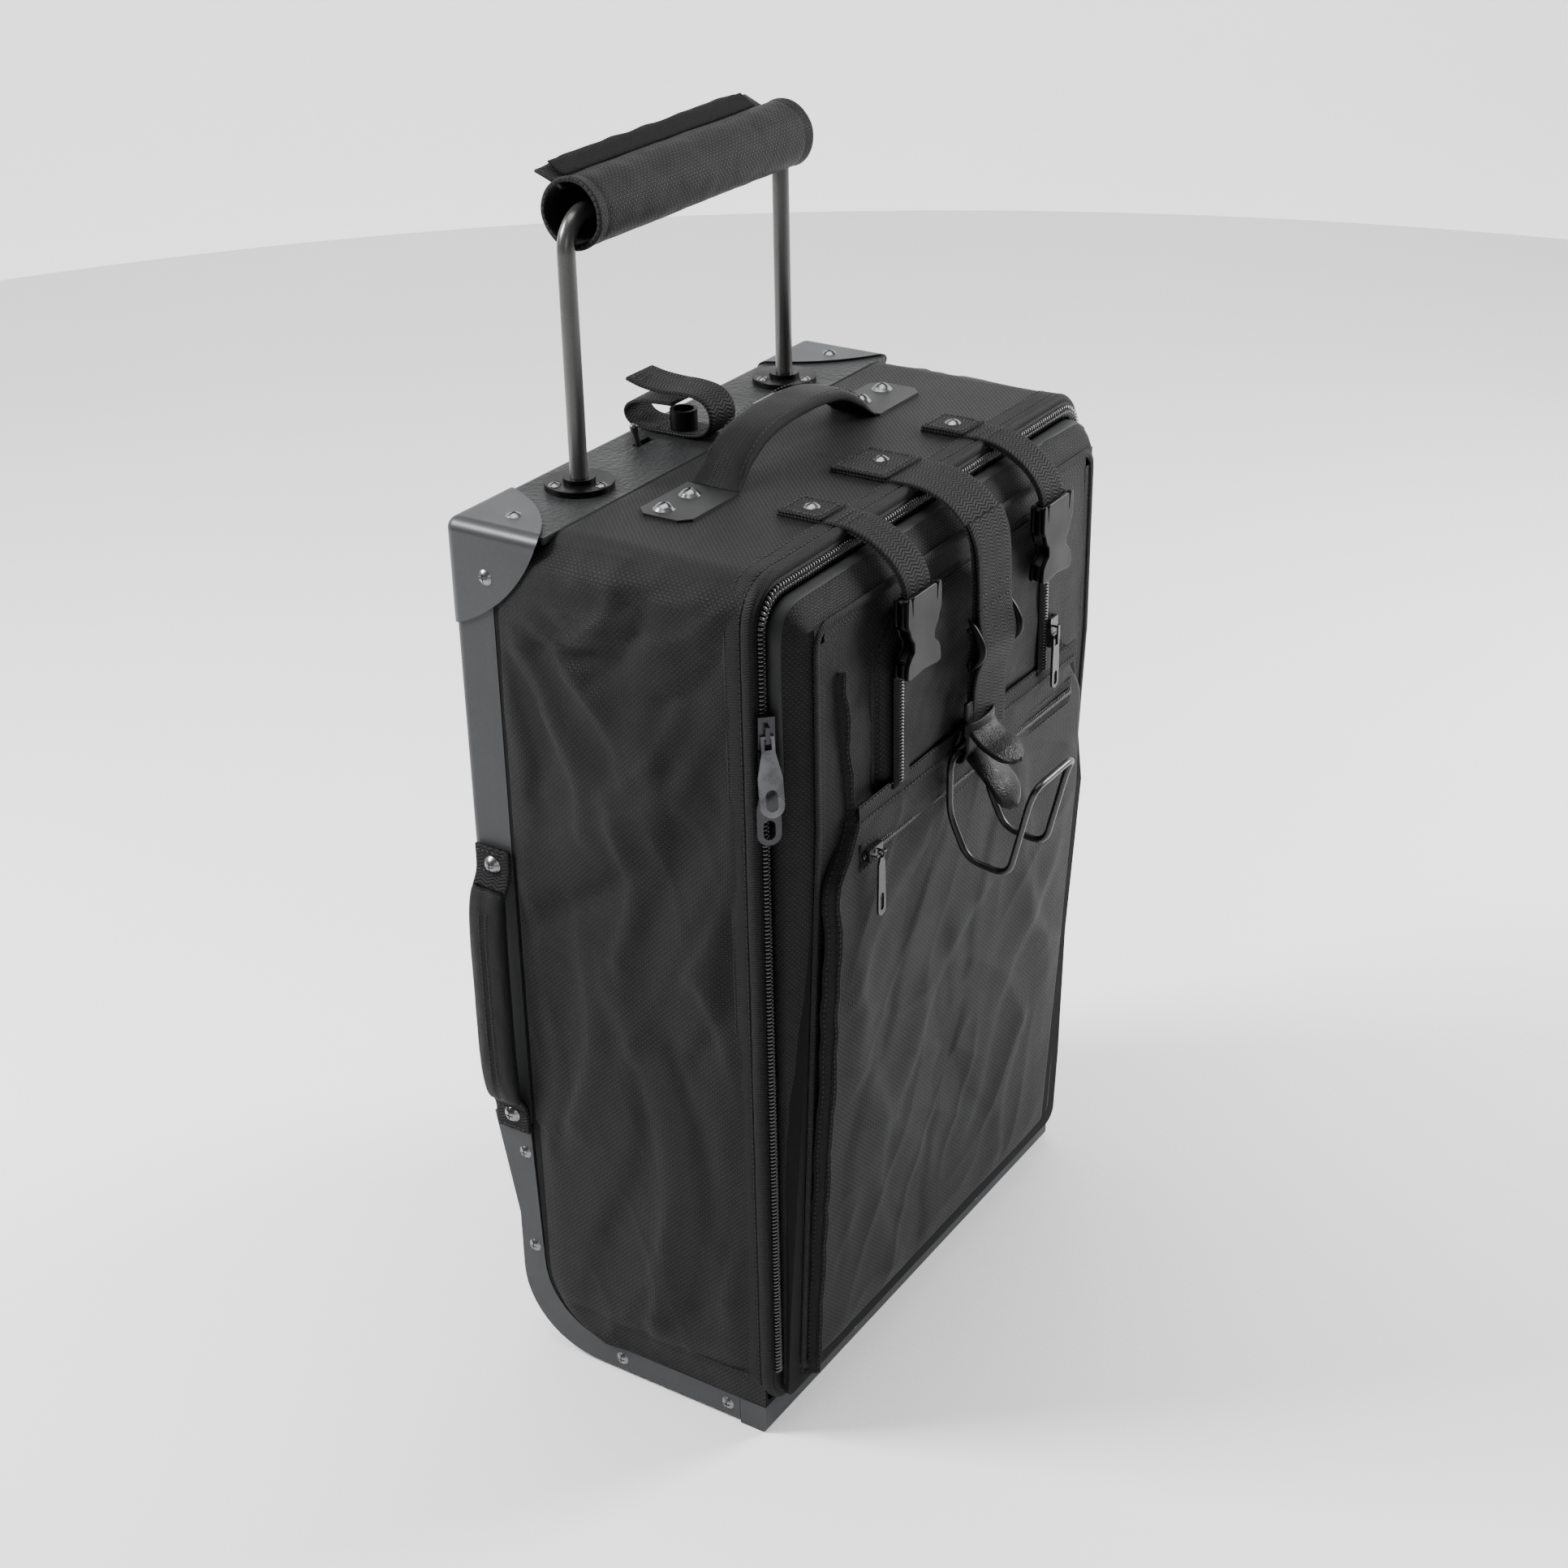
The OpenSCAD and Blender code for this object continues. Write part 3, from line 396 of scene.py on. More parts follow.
def new_piece(name, verts, faces, finish, body, uvs=None, smooth=True):
    """A mesh from points in millimetres; uvs, one per vertex, are in millimetres too."""
    mesh = bpy.data.meshes.new(name)
    mesh.from_pydata([tuple(float(c) * MM for c in v) for v in verts], [], faces)
    if uvs is not None:
        layer = mesh.uv_layers.new(name="cloth")
        corner = np.zeros(len(mesh.loops), np.int32)
        mesh.loops.foreach_get("vertex_index", corner)
        flat = (np.array(uvs, float) * MM)[corner]
        layer.data.foreach_set("uv", flat.ravel())
    mesh.update()
    piece = bpy.data.objects.new(name, mesh)
    bpy.context.scene.collection.objects.link(piece)
    mesh.materials.append(finish_of(finish))
    if smooth:
        mesh.polygons.foreach_set("use_smooth", [True] * len(mesh.polygons))
    if body is not None:
        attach(piece, body)
    return piece


def grid_faces(rows, columns, closed=False):
    faces = []
    for i in range(rows - 1):
        for j in range(columns if closed else columns - 1):
            k = (j + 1) % columns
            faces.append((i * columns + j, i * columns + k, (i + 1) * columns + k, (i + 1) * columns + j))
    return faces


def end_caps(rows, columns):
    """The two end faces of a closed grid."""
    return [tuple(range(columns - 1, -1, -1)), tuple(range((rows - 1) * columns, rows * columns))]


def lengths_along(points):
    steps = np.linalg.norm(np.diff(points, axis=0), axis=1)
    return np.concatenate([[0], np.cumsum(steps)])


def smooth_path(points, count):
    """A curve through hand-placed points, sampled evenly."""
    p = np.array(points, float)
    p = np.vstack([2 * p[0] - p[1], p, 2 * p[-1] - p[-2]])
    fine = []
    for i in range(1, len(p) - 2):
        for t in np.linspace(0, 1, 24, endpoint=False):
            a, b, c, d = p[i - 1], p[i], p[i + 1], p[i + 2]
            fine.append(0.5 * (2 * b + (c - a) * t + (2 * a - 5 * b + 4 * c - d) * t ** 2
                               + (3 * b - a - 3 * c + d) * t ** 3))
    fine.append(p[-2])
    fine = np.array(fine)
    run = lengths_along(fine)
    want = np.linspace(0, run[-1], count)
    return np.column_stack([np.interp(want, run, fine[:, k]) for k in range(3)])


def directions(path):
    d = np.gradient(path, axis=0)
    return d / np.linalg.norm(d, axis=1)[:, None]


def swept(name, path, section, side, finish, body, closed=True):
    """A section of (across, out) points swept along a path. side is the across direction."""
    path, section = np.array(path, float), np.array(section, float)
    along = directions(path)
    side = np.array(side, float) * np.ones_like(path)
    side = side - np.sum(side * along, axis=1)[:, None] * along
    side /= np.linalg.norm(side, axis=1)[:, None]
    out = np.cross(along, side)
    run = lengths_along(path)
    around = lengths_along(np.vstack([section, section[:1]]))
    verts, uvs = [], []
    for i in range(len(path)):
        for k, (a, o) in enumerate(section):
            verts.append(path[i] + side[i] * a + out[i] * o)
            uvs.append((around[k], run[i]))
    n = len(section)
    faces = grid_faces(len(path), n, closed)
    if closed:
        faces += end_caps(len(path), n)
    return new_piece(name, verts, faces, finish, body, uvs)


def strap_section(width, thick, edge=0.45):
    """Flat strap with rounded, slightly beaded edges, one point every few millimetres across."""
    half, t = width / 2, thick / 2
    e = thick * edge
    top = [(x, t) for x in np.linspace(-half + e, half - e, 9)]
    right = [(half - e * 0.3, t * 0.75), (half, 0), (half - e * 0.3, -t * 0.75)]
    bottom = [(x, -t) for x in np.linspace(half - e, -half + e, 9)]
    left = [(-half + e * 0.3, -t * 0.75), (-half, 0), (-half + e * 0.3, t * 0.75)]
    return top + right + bottom + left


def tube_section(radius, sides=14):
    return [(radius * c, radius * w) for c, w in circle(sides)]


def unit(vector):
    return vector / np.linalg.norm(vector)


def interpolated(s, run, rows):
    """The row at a distance s along a path whose rows lie at the distances in run."""
    return np.array([np.interp(s, run, rows[:, k]) for k in range(3)])


def circle(sides):
    return [(math.cos(a), math.sin(a)) for a in np.linspace(0, 2 * math.pi, sides, endpoint=False)]


def capsules(name, rods, long, thick, taper, finish, body, sides=6):
    """Short rods with tapered ends, as one piece. Each rod is its middle, direction and up direction."""
    verts, faces = [], []
    for at, d, up in rods:
        d = unit(d)
        up = unit(up - d * np.dot(up, d))
        side = np.cross(d, up)
        first = len(verts)
        for f, r in ((-0.5, taper[1]), (-taper[0], 1.0), (taper[0], 1.0), (0.5, taper[1])):
            verts += [at + d * f * long + (side * c + up * w) * thick * r for c, w in circle(sides)]
        faces += [tuple(first + k for k in face) for face in grid_faces(4, sides, True) + end_caps(4, sides)]
    return new_piece(name, verts, faces, finish, body)


def stitches(name, paths, body, pitch=3.4, long=2.5, thick=0.34, lift=0.15, out=(0, -1, 0)):
    """Rows of single stitches laid along paths, as one piece."""
    rods = []
    for path in paths:
        path = np.array(path, float)
        run = lengths_along(path)
        for s in np.arange(pitch / 2, run[-1] - pitch / 4, pitch):
            at = interpolated(s, run, path)
            ahead, behind = min(s + 0.5, run[-1]), max(s - 0.5, 0)
            d = unit(interpolated(ahead, run, path) - interpolated(behind, run, path))
            up = np.array(out(at) if callable(out) else out, float)
            up = unit(up - d * np.dot(up, d))
            rods.append((at + up * lift, d, up))
    return capsules(name, rods, long, thick, (0.3, 0.25), "thread", body)


def ring_outline(half, low, high, top_r, base_r, step=6.0):
    """Closed outline in x and z with outward directions, from the middle of the base, clockwise."""
    corners = [((-half + base_r, low + base_r), base_r, 270, 180),
               ((-half + top_r, high - top_r), top_r, 180, 90),
               ((half - top_r, high - top_r), top_r, 90, 0),
               ((half - base_r, low + base_r), base_r, 0, -90)]
    points = [((0, low), (0, -1))]
    for (cx, cz), r, a0, a1 in corners:
        for a in np.radians(np.linspace(a0, a1, max(6, int(r / 3)))):
            n = (math.cos(a), math.sin(a))
            points.append(((cx + r * n[0], cz + r * n[1]), n))
    p = np.array([q[0] for q in points] + [points[0][0]])
    n = np.array([q[1] for q in points] + [points[0][1]])
    run = lengths_along(p)
    want = np.linspace(0, run[-1], int(run[-1] / step), endpoint=False)
    pos = np.column_stack([np.interp(want, run, p[:, k]) for k in (0, 1)])
    nor = np.column_stack([np.interp(want, run, n[:, k]) for k in (0, 1)])
    nor /= np.linalg.norm(nor, axis=1)[:, None]
    return pos, nor, want, run[-1]


def ring_strip(name, outline, profile, finish, body, ripple=None):
    """A profile of (outward, y) points carried round an outline; ripple(u, k) may add outward waves."""
    pos, nor, want, total = outline
    profile = np.array(profile, float)
    across = lengths_along(profile)
    count = len(pos)
    verts, uvs = [], []
    for i in list(range(count)) + [0]:
        s = want[i] if len(verts) < count * len(profile) else total
        for k, (o, y) in enumerate(profile):
            extra = ripple(s, k) if ripple else 0.0
            p = pos[i] + nor[i] * (o + extra)
            verts.append((p[0], y, p[1]))
            uvs.append((across[k], s))
    faces = grid_faces(count + 1, len(profile))
    return new_piece(name, verts, faces, finish, body, uvs)


def add_thickness(piece, amount, offset=-1.0):
    solid = piece.modifiers.new("thickness", "SOLIDIFY")
    solid.thickness = amount * MM
    solid.offset = offset
    return piece


def bake_modifiers(piece):
    """Replaces the mesh by its evaluated self, so nothing is left to work out."""
    graph = bpy.context.evaluated_depsgraph_get()
    mesh = bpy.data.meshes.new_from_object(piece.evaluated_get(graph), depsgraph=graph)
    piece.modifiers.clear()
    piece.data = mesh
    return piece


def flat_part(name, outline, thick, edge, place, finish, body):
    """Plate with rounded edges. Outline points are (x, z); it faces -Y."""
    curve = bpy.data.curves.new(name, "CURVE")
    curve.dimensions = "2D"
    curve.fill_mode = "BOTH"
    curve.extrude = (thick / 2 - edge) * MM
    curve.bevel_depth = edge * MM
    curve.bevel_resolution = 2
    spline = curve.splines.new("POLY")
    spline.points.add(len(outline) - 1)
    for point, (x, z) in zip(spline.points, outline):
        point.co = (x * MM, z * MM, 0, 1)
    spline.use_cyclic_u = True
    holder = bpy.data.objects.new(name + "_curve", curve)
    bpy.context.scene.collection.objects.link(holder)
    graph = bpy.context.evaluated_depsgraph_get()
    mesh = bpy.data.meshes.new_from_object(holder.evaluated_get(graph), depsgraph=graph)
    bpy.data.objects.remove(holder)
    mesh.name = name
    mesh.transform(place @ Matrix.Rotation(math.radians(90), 4, "X"))
    mesh.materials.clear()
    mesh.materials.append(finish_of(finish))
    piece = bpy.data.objects.new(name, mesh)
    bpy.context.scene.collection.objects.link(piece)
    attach(piece, body)
    return piece


def rounded(points, r, n=5):
    """Rounds the corners of a closed (x, z) outline."""
    result = []
    count = len(points)
    for i in range(count):
        p = np.array(points[i], float)
        a, b = np.array(points[i - 1], float) - p, np.array(points[(i + 1) % count], float) - p
        ra = min(r, np.linalg.norm(a) * 0.45)
        rb = min(r, np.linalg.norm(b) * 0.45)
        s, e = p + a / np.linalg.norm(a) * ra, p + b / np.linalg.norm(b) * rb
        for t in np.linspace(0, 1, n):
            result.append(tuple((1 - t) ** 2 * s + 2 * t * (1 - t) * p + t * t * e))
    return result


def wave(*place, seed=0.0):
    """Smooth repeatable noise from -1 to 1."""
    p = list(place) + [0.0] * (3 - len(place))
    return noise.noise(Vector((p[0] + seed, p[1] - seed * 0.7, p[2] + seed * 1.3)))


# ---------------------------------------------------------------- shapes of the case, from the frame

LID_HALF = LID_HIGH[0]
LID_Z0 = LID_LOW[2]
LID_Z1 = LID_HIGH[2]
LID_BACK = LID_HIGH[1]
POCKET_HALF = POCKET_HIGH[0]
POCKET_Z0 = POCKET_LOW[2]
POCKET_Z1 = POCKET_HIGH[2]
UPPER_LOW, UPPER_HIGH = box_mm("upper_pocket")
COIL_LOW, COIL_HIGH = box_mm("main_zip")
POCKET_ZIP_Z = 371.0
UPRIGHT_ZIP_TOP = 468.0
SMALL_COIL = (1.9, 4.6, 0.62)  # pitch, width and thickness of the turns
BUCKLE_X = 76.0
HOOK_X = -12.0
TOP_STITCH_Z = 544.7


def lid_front(z):
    """Y of the lid's front face."""
    return -35.0 if z > POCKET_Z1 else -35.0 + (400.0 - z) * 16.0 / 370.0


def pocket_front(z):
    """Y of the lower pocket's front face."""
    return -41.0 - (z - 300.0) / 200.0 if z > 300.0 else -41.0 + (300.0 - z) * 17.0 / 263.0


def guard_clear(x, y, z):
    """0 beneath a corner guard and 1 well away from it."""
    d = math.sqrt((abs(x) - HALF_W - 46.5) ** 2 + (y - BACK_Y - 33) ** 2 + (z - TOP_Z - 36) ** 2)
    return min(1.0, max(0.0, (d - 112.0) / 26.0))


def ease(t):
    t = min(1.0, max(0.0, t))
    return t * t * (3 - 2 * t)


# ---------------------------------------------------------------- body cloth

# Folds: both ends, half width and height of each, in the plane of the panel; below zero is a hollow.
SIDE_FOLDS = (
    ((8, 442), (112, 322), 17, -4.6), ((2, 462), (104, 372), 15, 2.6), ((30, 412), (128, 300), 13, 2.4),
    ((71, 516), (108, 484), 5, 2.6), ((-1, 530), (57, 497), 5, 2.4), ((57, 499), (118, 482), 6, -2.4),
    ((141, 463), (129, 391), 8, -2.2), ((71, 511), (30, 528), 5, -1.8), ((33, 462), (80, 404), 6, 1.6),
    ((76, 388), (77, 303), 7, 2.2), ((1, 421), (29, 307), 8, 2.6), ((39, 427), (57, 331), 9, -1.8),
    ((108, 317), (117, 181), 9, 2.2), ((85, 285), (65, 55), 11, 2.4), ((3, 349), (29, 253), 8, -2.4),
    ((67, 230), (95, 112), 10, -2.0), ((20, 300), (14, 90), 9, 1.9), ((44, 250), (36, 80), 8, -1.7),
    ((100, 470), (70, 420), 6, 1.8), ((120, 440), (98, 380), 6, 1.5), ((50, 520), (86, 470), 5, -1.6),
    ((6, 500), (40, 470), 6, -1.8), ((122, 250), (132, 160), 7, -1.5), ((10, 130), (52, 62), 9, -1.5),
)
POCKET_FOLDS = (
    ((-60, 352), (-128, 290), 13, 2.6), ((-126, 296), (-30, 118), 16, 2.4), ((10, 282), (-62, 196), 12, 2.2),
    ((106, 254), (30, 120), 15, 2.2), ((-108, 230), (-128, 105), 12, -2.0), ((-26, 268), (56, 88), 14, -2.2),
    ((60, 340), (110, 200), 13, 2.0), ((-90, 180), (-60, 60), 13, 2.0), ((0, 200), (-30, 60), 10, -1.6),
    ((84, 150), (70, 60), 12, 1.8), ((-40, 340), (-90, 240), 9, -1.8), ((30, 330), (4, 240), 9, -1.5),
)


def folded(folds, a, b):
    """Height that a list of folds adds at a point of a panel."""
    total = 0.0
    for (a0, b0), (a1, b1), width, height in folds:
        da, db = a1 - a0, b1 - b0
        length = math.hypot(da, db)
        t = ((a - a0) * da + (b - b0) * db) / length ** 2
        bow = 0.10 * length * math.sin(math.pi * min(1.0, max(0.0, t)))
        off = ((a - a0) * db - (b - b0) * da) / length - bow
        beyond = max(0.0, -t, t - 1) * length
        sharp = 0.65 if off < 0 else 1.35
        total += height * math.exp(-(off / (width * sharp)) ** 2 - (beyond / (width * 1.6)) ** 2)
    return total


def build_body_cloth():
    """Nylon stretched over the two sides and the top, tucked under rails and channel."""
    bulge, folds = sizes().bulge / MM, sizes().wrinkle
    low, top, r = BASE_Z + 1.0, TOP_Z + 0.6, 22.0
    points = [((-HALF_W, z), (-1, 0)) for z in np.linspace(low, top - r, 150)]
    for a in np.radians(np.linspace(180, 90, 16)[1:]):
        n = (math.cos(a), math.sin(a))
        points.append(((-HALF_W + r + r * n[0], top - r + r * n[1]), n))
    points += [((x, top), (0, 1)) for x in np.linspace(-HALF_W + r, 0, 50)[1:]]
    left = points[:]
    points += [((-p[0], p[1]), (-n[0], n[1])) for p, n in reversed(left[:-1])]
    rows = 46
    place = np.array([p for p, _ in points])
    run = lengths_along(place)
    verts, uvs = [], []
    for i, ((x, z), (nx, nz)) in enumerate(points):
        upness = ease((nz - 0.15) / 0.7)
        y_end = (RAIL_Y + 2.5) * (1 - upness) + (CHANNEL_Y + 2.5) * upness
        if z < 165:
            y_end = min(RAIL_Y + 2.5, 107 + 44.2 * math.sqrt(max(0.0, 1 - ((min(z, 64) - 64) / 46) ** 2)))
        y0 = BINDING_HIGH[1] - 0.5
        for j in range(rows):
            t = j / (rows - 1)
            y = y0 + (y_end - y0) * t
            edge = ease(t / 0.16) * ease((1 - t) / 0.10)
            clear = guard_clear(x, y, z)
            ends = ease((z - low) / 40) if nz < 0.3 else 1.0
            swell = bulge * (1 - upness * 0.72) * edge * (0.35 + 0.65 * math.sin(math.pi * t)) * ends
            side = 1.0 if x > 0 else -1.0
            warp = 9.0 * wave(y / 60.0, z / 90.0, side, seed=6.3)
            fold = 2.4 * wave((y + warp) / 38.0, z / 130.0, side, seed=3.1)
            ridge = 1 - 2.4 * abs(wave((y + 0.30 * z + warp) / 44.0, z / 170.0, side, seed=7.7))
            fold += 2.4 * max(0.0, ridge) ** 2 * (0.4 + 0.6 * wave(z / 80.0, y / 60.0, seed=1.9))
            ridge = 1 - 3.0 * abs(wave((y - 0.22 * z + warp) / 30.0, z / 110.0, side, seed=2.7))
            fold += 1.5 * max(0.0, ridge) ** 2 * (0.3 + 0.7 * wave(z / 60.0, y / 40.0, seed=8.9))
            angle = math.atan2(z - 520.0, y - 165.0)
            reach = math.hypot(z - 520.0, y - 165.0)
            rays = math.sin(angle * 17 + 1.5 * wave(reach / 60, angle * 2, seed=1.2))
            fold += 1.7 * rays * math.exp(-((reach - 95) / 60.0) ** 2) * (1 - upness)
            fold += 0.35 * wave(x / 30.0, y / 26.0, z / 26.0, seed=5.0)
            if nz < 0.8:
                fold = fold * 0.45 + 0.62 * folded(SIDE_FOLDS, y, z if x < 0 else 560 - z) * (1 - upness)
            crease = 0.55 * math.exp(-((z - 41.0) / 2.6) ** 2) if nz < 0.3 else 0.0
            on_top = ease((nz - 0.6) / 0.35)
            off = 0.25 + swell * clear * (1 - 0.9 * on_top) - crease
            off += fold * folds * edge * clear * (1 - 0.93 * on_top) * 1.9
            tuck = ease((t - 0.955) / 0.045)
            off = max(off, 0.12) * (1 - tuck) - 2.6 * tuck
            verts.append((x + nx * off, y, z + nz * off))
            uvs.append((y, run[i]))
    piece = new_piece("body_cloth", verts, grid_faces(len(points), rows), "nylon", ROOT, uvs)


def build_body_seams():
    """Base band with its seam and the two rows of piping round the body's front edge."""
    for side in (-1, 1):
        path = [(side * (HALF_W + 0.5 + 1.6 * ease((y + 6) / 20) * ease((112 - y) / 20)), y, 41.5)
                for y in np.linspace(-8, 112, 60)]
        tag = "left" if side < 0 else "right"
        swept(tag + "_base_seam", path, tube_section(0.9, 8), (0, 0, 1), "binding", ROOT)
    outline = ring_outline(HALF_W, BINDING_LOW[2], BINDING_HIGH[2], 24, 22, 4.0)

    def wavy(s, k):
        return 0.28 * wave(s / 16.0, k * 0.35, seed=2.0)

    outer = [(0.2, -7.4), (1.2, -7.2), (1.7, -8.6), (1.8, -10.0), (1.5, -11.6), (0.8, -12.9),
             (-0.6, -13.3), (-2.5, -13.4), (-5.0, -12.7), (-7.6, -12.1), (-7.9, -9.2), (-4.0, -9.0),
             (0.2, -9.0), (0.2, -7.4)]
    first = ring_strip("front_binding_tape", outline, outer, "binding", ROOT, wavy)
    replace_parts(first, "front_binding")
    back = [(0.3, 4.5), (0.9, 3.6), (1.35, 1.5), (1.5, -1.5), (1.35, -4.5), (1.1, -6.6), (0.2, -7.2)]
    ring_strip("front_binding_edge", outline, back, "binding", ROOT, wavy)
    rows = []
    pos, nor, _, _ = outline
    for y, o in ((-6.2, 1.3), (2.6, 1.2)):
        rows.append([(p[0] + n[0] * o, y, p[1] + n[1] * o) for p, n in zip(pos, nor) if p[1] > 30])
    stitches("front_binding_stitches", rows, ROOT,
             out=lambda at: (at[0], 0, max(0, at[2] - 500) * 6 if abs(at[0]) < 168 else 0.01))


def coil(name, path, up, pitch, width, thick, body, slot):
    """Coil zip: two rows of turns that mesh along the path."""
    path = np.array(path, float)
    run = lengths_along(path)
    along = directions(path)
    up = np.array(up, float)
    rods = []
    for k, s in enumerate(np.arange(pitch / 2, run[-1], pitch / 2)):
        d = interpolated(s, run, along)
        side = unit(np.cross(d, up)) * (1 if k % 2 else -1)
        rods.append((interpolated(s, run, path) + side * width * 0.2, side + d * 0.22 - up * 0.30, up))
    return capsules(name, rods, width * 0.66, thick, (0.36, 0.35), "coil", body)


def build_main_zip():
    """Tape and coil of the zip that closes the lid, down both sides and across the top."""
    outer = ring_outline(COIL_HIGH[0], COIL_LOW[2], COIL_HIGH[2], 19, 19, 4.0)
    tape = [(0.6, -12.2), (0.9, -13.2), (0.2, -14.2), (-2.4, -14.7), (-5.5, -14.5), (-9.5, -13.6),
            (-10.0, -12.2), (0.6, -12.2)]
    piece = ring_strip("main_zip_tape", outer, tape, "zip_tape", ROOT,
                       lambda s, k: 0.15 * wave(s / 20.0, k, seed=4.0))
    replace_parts(piece, "main_zip")
    half = COIL_HIGH[0] - 3.0
    top = COIL_HIGH[2] - 4.5
    path = [(-half, -15.9, z) for z in np.linspace(46, top - 18, 60)]
    path += [(-half + 18 + 18 * math.cos(a), -15.9, top - 18 + 18 * math.sin(a))
             for a in np.radians(np.linspace(180, 90, 12)[1:])]
    path += [(x, -15.9, top) for x in np.linspace(-half + 18, 0, 20)[1:]]
    path += [(-p[0], p[1], p[2]) for p in reversed(path[:-1])]
    coil("main_zip_coil", path, (0, -1, 0), sizes().coil / MM, 7.6, 1.0, ROOT, "zip_black")


# ---------------------------------------------------------------- lid

def build_lid_cloth():
    """Rim, front panel, corner binding and edge tape of the lid."""
    outline = ring_outline(LID_HALF, LID_Z0, LID_Z1, 16, 16, 4.0)
    pos, nor, want, total = outline
    steps = [(0.1, 0.00), (0.7, 0.10), (0.9, 0.30), (0.2, 0.48), (-4.5, 0.72), (-9.0, 0.89), (-13.0, 0.985),
             (-17.0, 1.03), (-22.0, 1.03)]
    verts, uvs = [], []
    reach = lengths_along(np.array([(o, f * 19.8) for o, f in steps]))
    count = len(pos)
    for i in list(range(count)) + [0]:
        s = want[i] if len(verts) < count * len(steps) else total
        for k, (o, f) in enumerate(steps):
            inner = pos[i] + nor[i] * o
            depth = lid_front(inner[1]) - LID_BACK
            dent = 0.45 * wave(s / 17.0, k * 0.5, seed=9.0) * (1 if 1 < k < 8 else 0)
            x, z = inner + nor[i] * dent
            verts.append((x, LID_BACK - 0.2 + depth * f, z))
            uvs.append((reach[k], s))
    new_piece("lid_rim_cloth", verts, grid_faces(count + 1, len(steps)), "nylon", "lid", uvs)

    columns, rows = 90, 130
    verts, uvs = [], []
    x_half, z0, z1 = LID_HALF - 13.0, LID_Z0 + 11.0, LID_Z1 - 12.0
    for i in range(rows):
        z = z0 + (z1 - z0) * i / (rows - 1)
        for j in range(columns):
            x = -x_half + 2 * x_half * j / (columns - 1)
            edge = ease((x_half - abs(x)) / 26) * ease((z1 - z) / 22) * ease((z - z0) / 22)
            y = lid_front(z) - 0.4 - edge * (1.3 + 0.9 * wave(x / 42, z / 30, seed=1.0)
                                             + 0.45 * wave(x / 14, z / 11, seed=6.0))
            verts.append((x, y, z))
            uvs.append((x, z))
    piece = new_piece("lid_front_cloth", verts, grid_faces(rows, columns), "nylon", "lid", uvs)

    pos, nor, _, _ = ring_outline(LID_HALF - 14.5, LID_Z0 + 12.5, LID_Z1 - 13.5, 10, 10, 4.0)
    closed = list(range(len(pos))) + [0]
    path = [(pos[i][0], lid_front(pos[i][1]) - 0.9, pos[i][1]) for i in closed]
    swept("lid_corner_binding", path, [(-2.6, -0.4), (-2.0, 0.6), (0.0, 1.0), (2.0, 0.6), (2.6, -0.4)],
          [(nor[i][0], 0, nor[i][1]) for i in closed], "binding", "lid", closed=False)

    edge_tape = []
    for i in range(len(outline[0])):
        p, n = outline[0][i], outline[1][i]
        if p[1] > 434 or p[0] > 0 and p[1] > 60:
            edge_tape.append((p, n))
    path = [(p[0] + n[0] * 0.1, 0, p[1] + n[1] * 0.1) for p, n in edge_tape]
    run = lengths_along(np.array(path))
    section = [(0.6, -15.4), (1.5, -16.6), (1.6, -19.0), (1.2, -22.0), (0.5, -24.0), (-2.8, -26.6),
               (-3.2, -26.2)]
    verts, uvs = [], []
    around = lengths_along(np.array(section))
    for i, (p, n) in enumerate(edge_tape):
        squeeze = 1.0 if p[1] > POCKET_Z1 else (LID_BACK - lid_front(p[1])) / (LID_BACK + 35.0)
        for k, (o, y) in enumerate(section):
            y = -15.4 + (y + 15.4) * squeeze
            verts.append((p[0] + n[0] * o, y + 0.2 * wave(run[i] / 12, k, seed=8.0), p[1] + n[1] * o))
            uvs.append((around[k], run[i]))
    new_piece("lid_edge_tape", verts, grid_faces(len(edge_tape), len(section)), "smooth_tape", "lid",
              uvs)


def pocket_half(z):
    """Half width of the lower pocket at a height."""
    return POCKET_HALF if z < 360 else POCKET_HALF - 20.0 * ease((z - 360) / (POCKET_Z1 - 360))


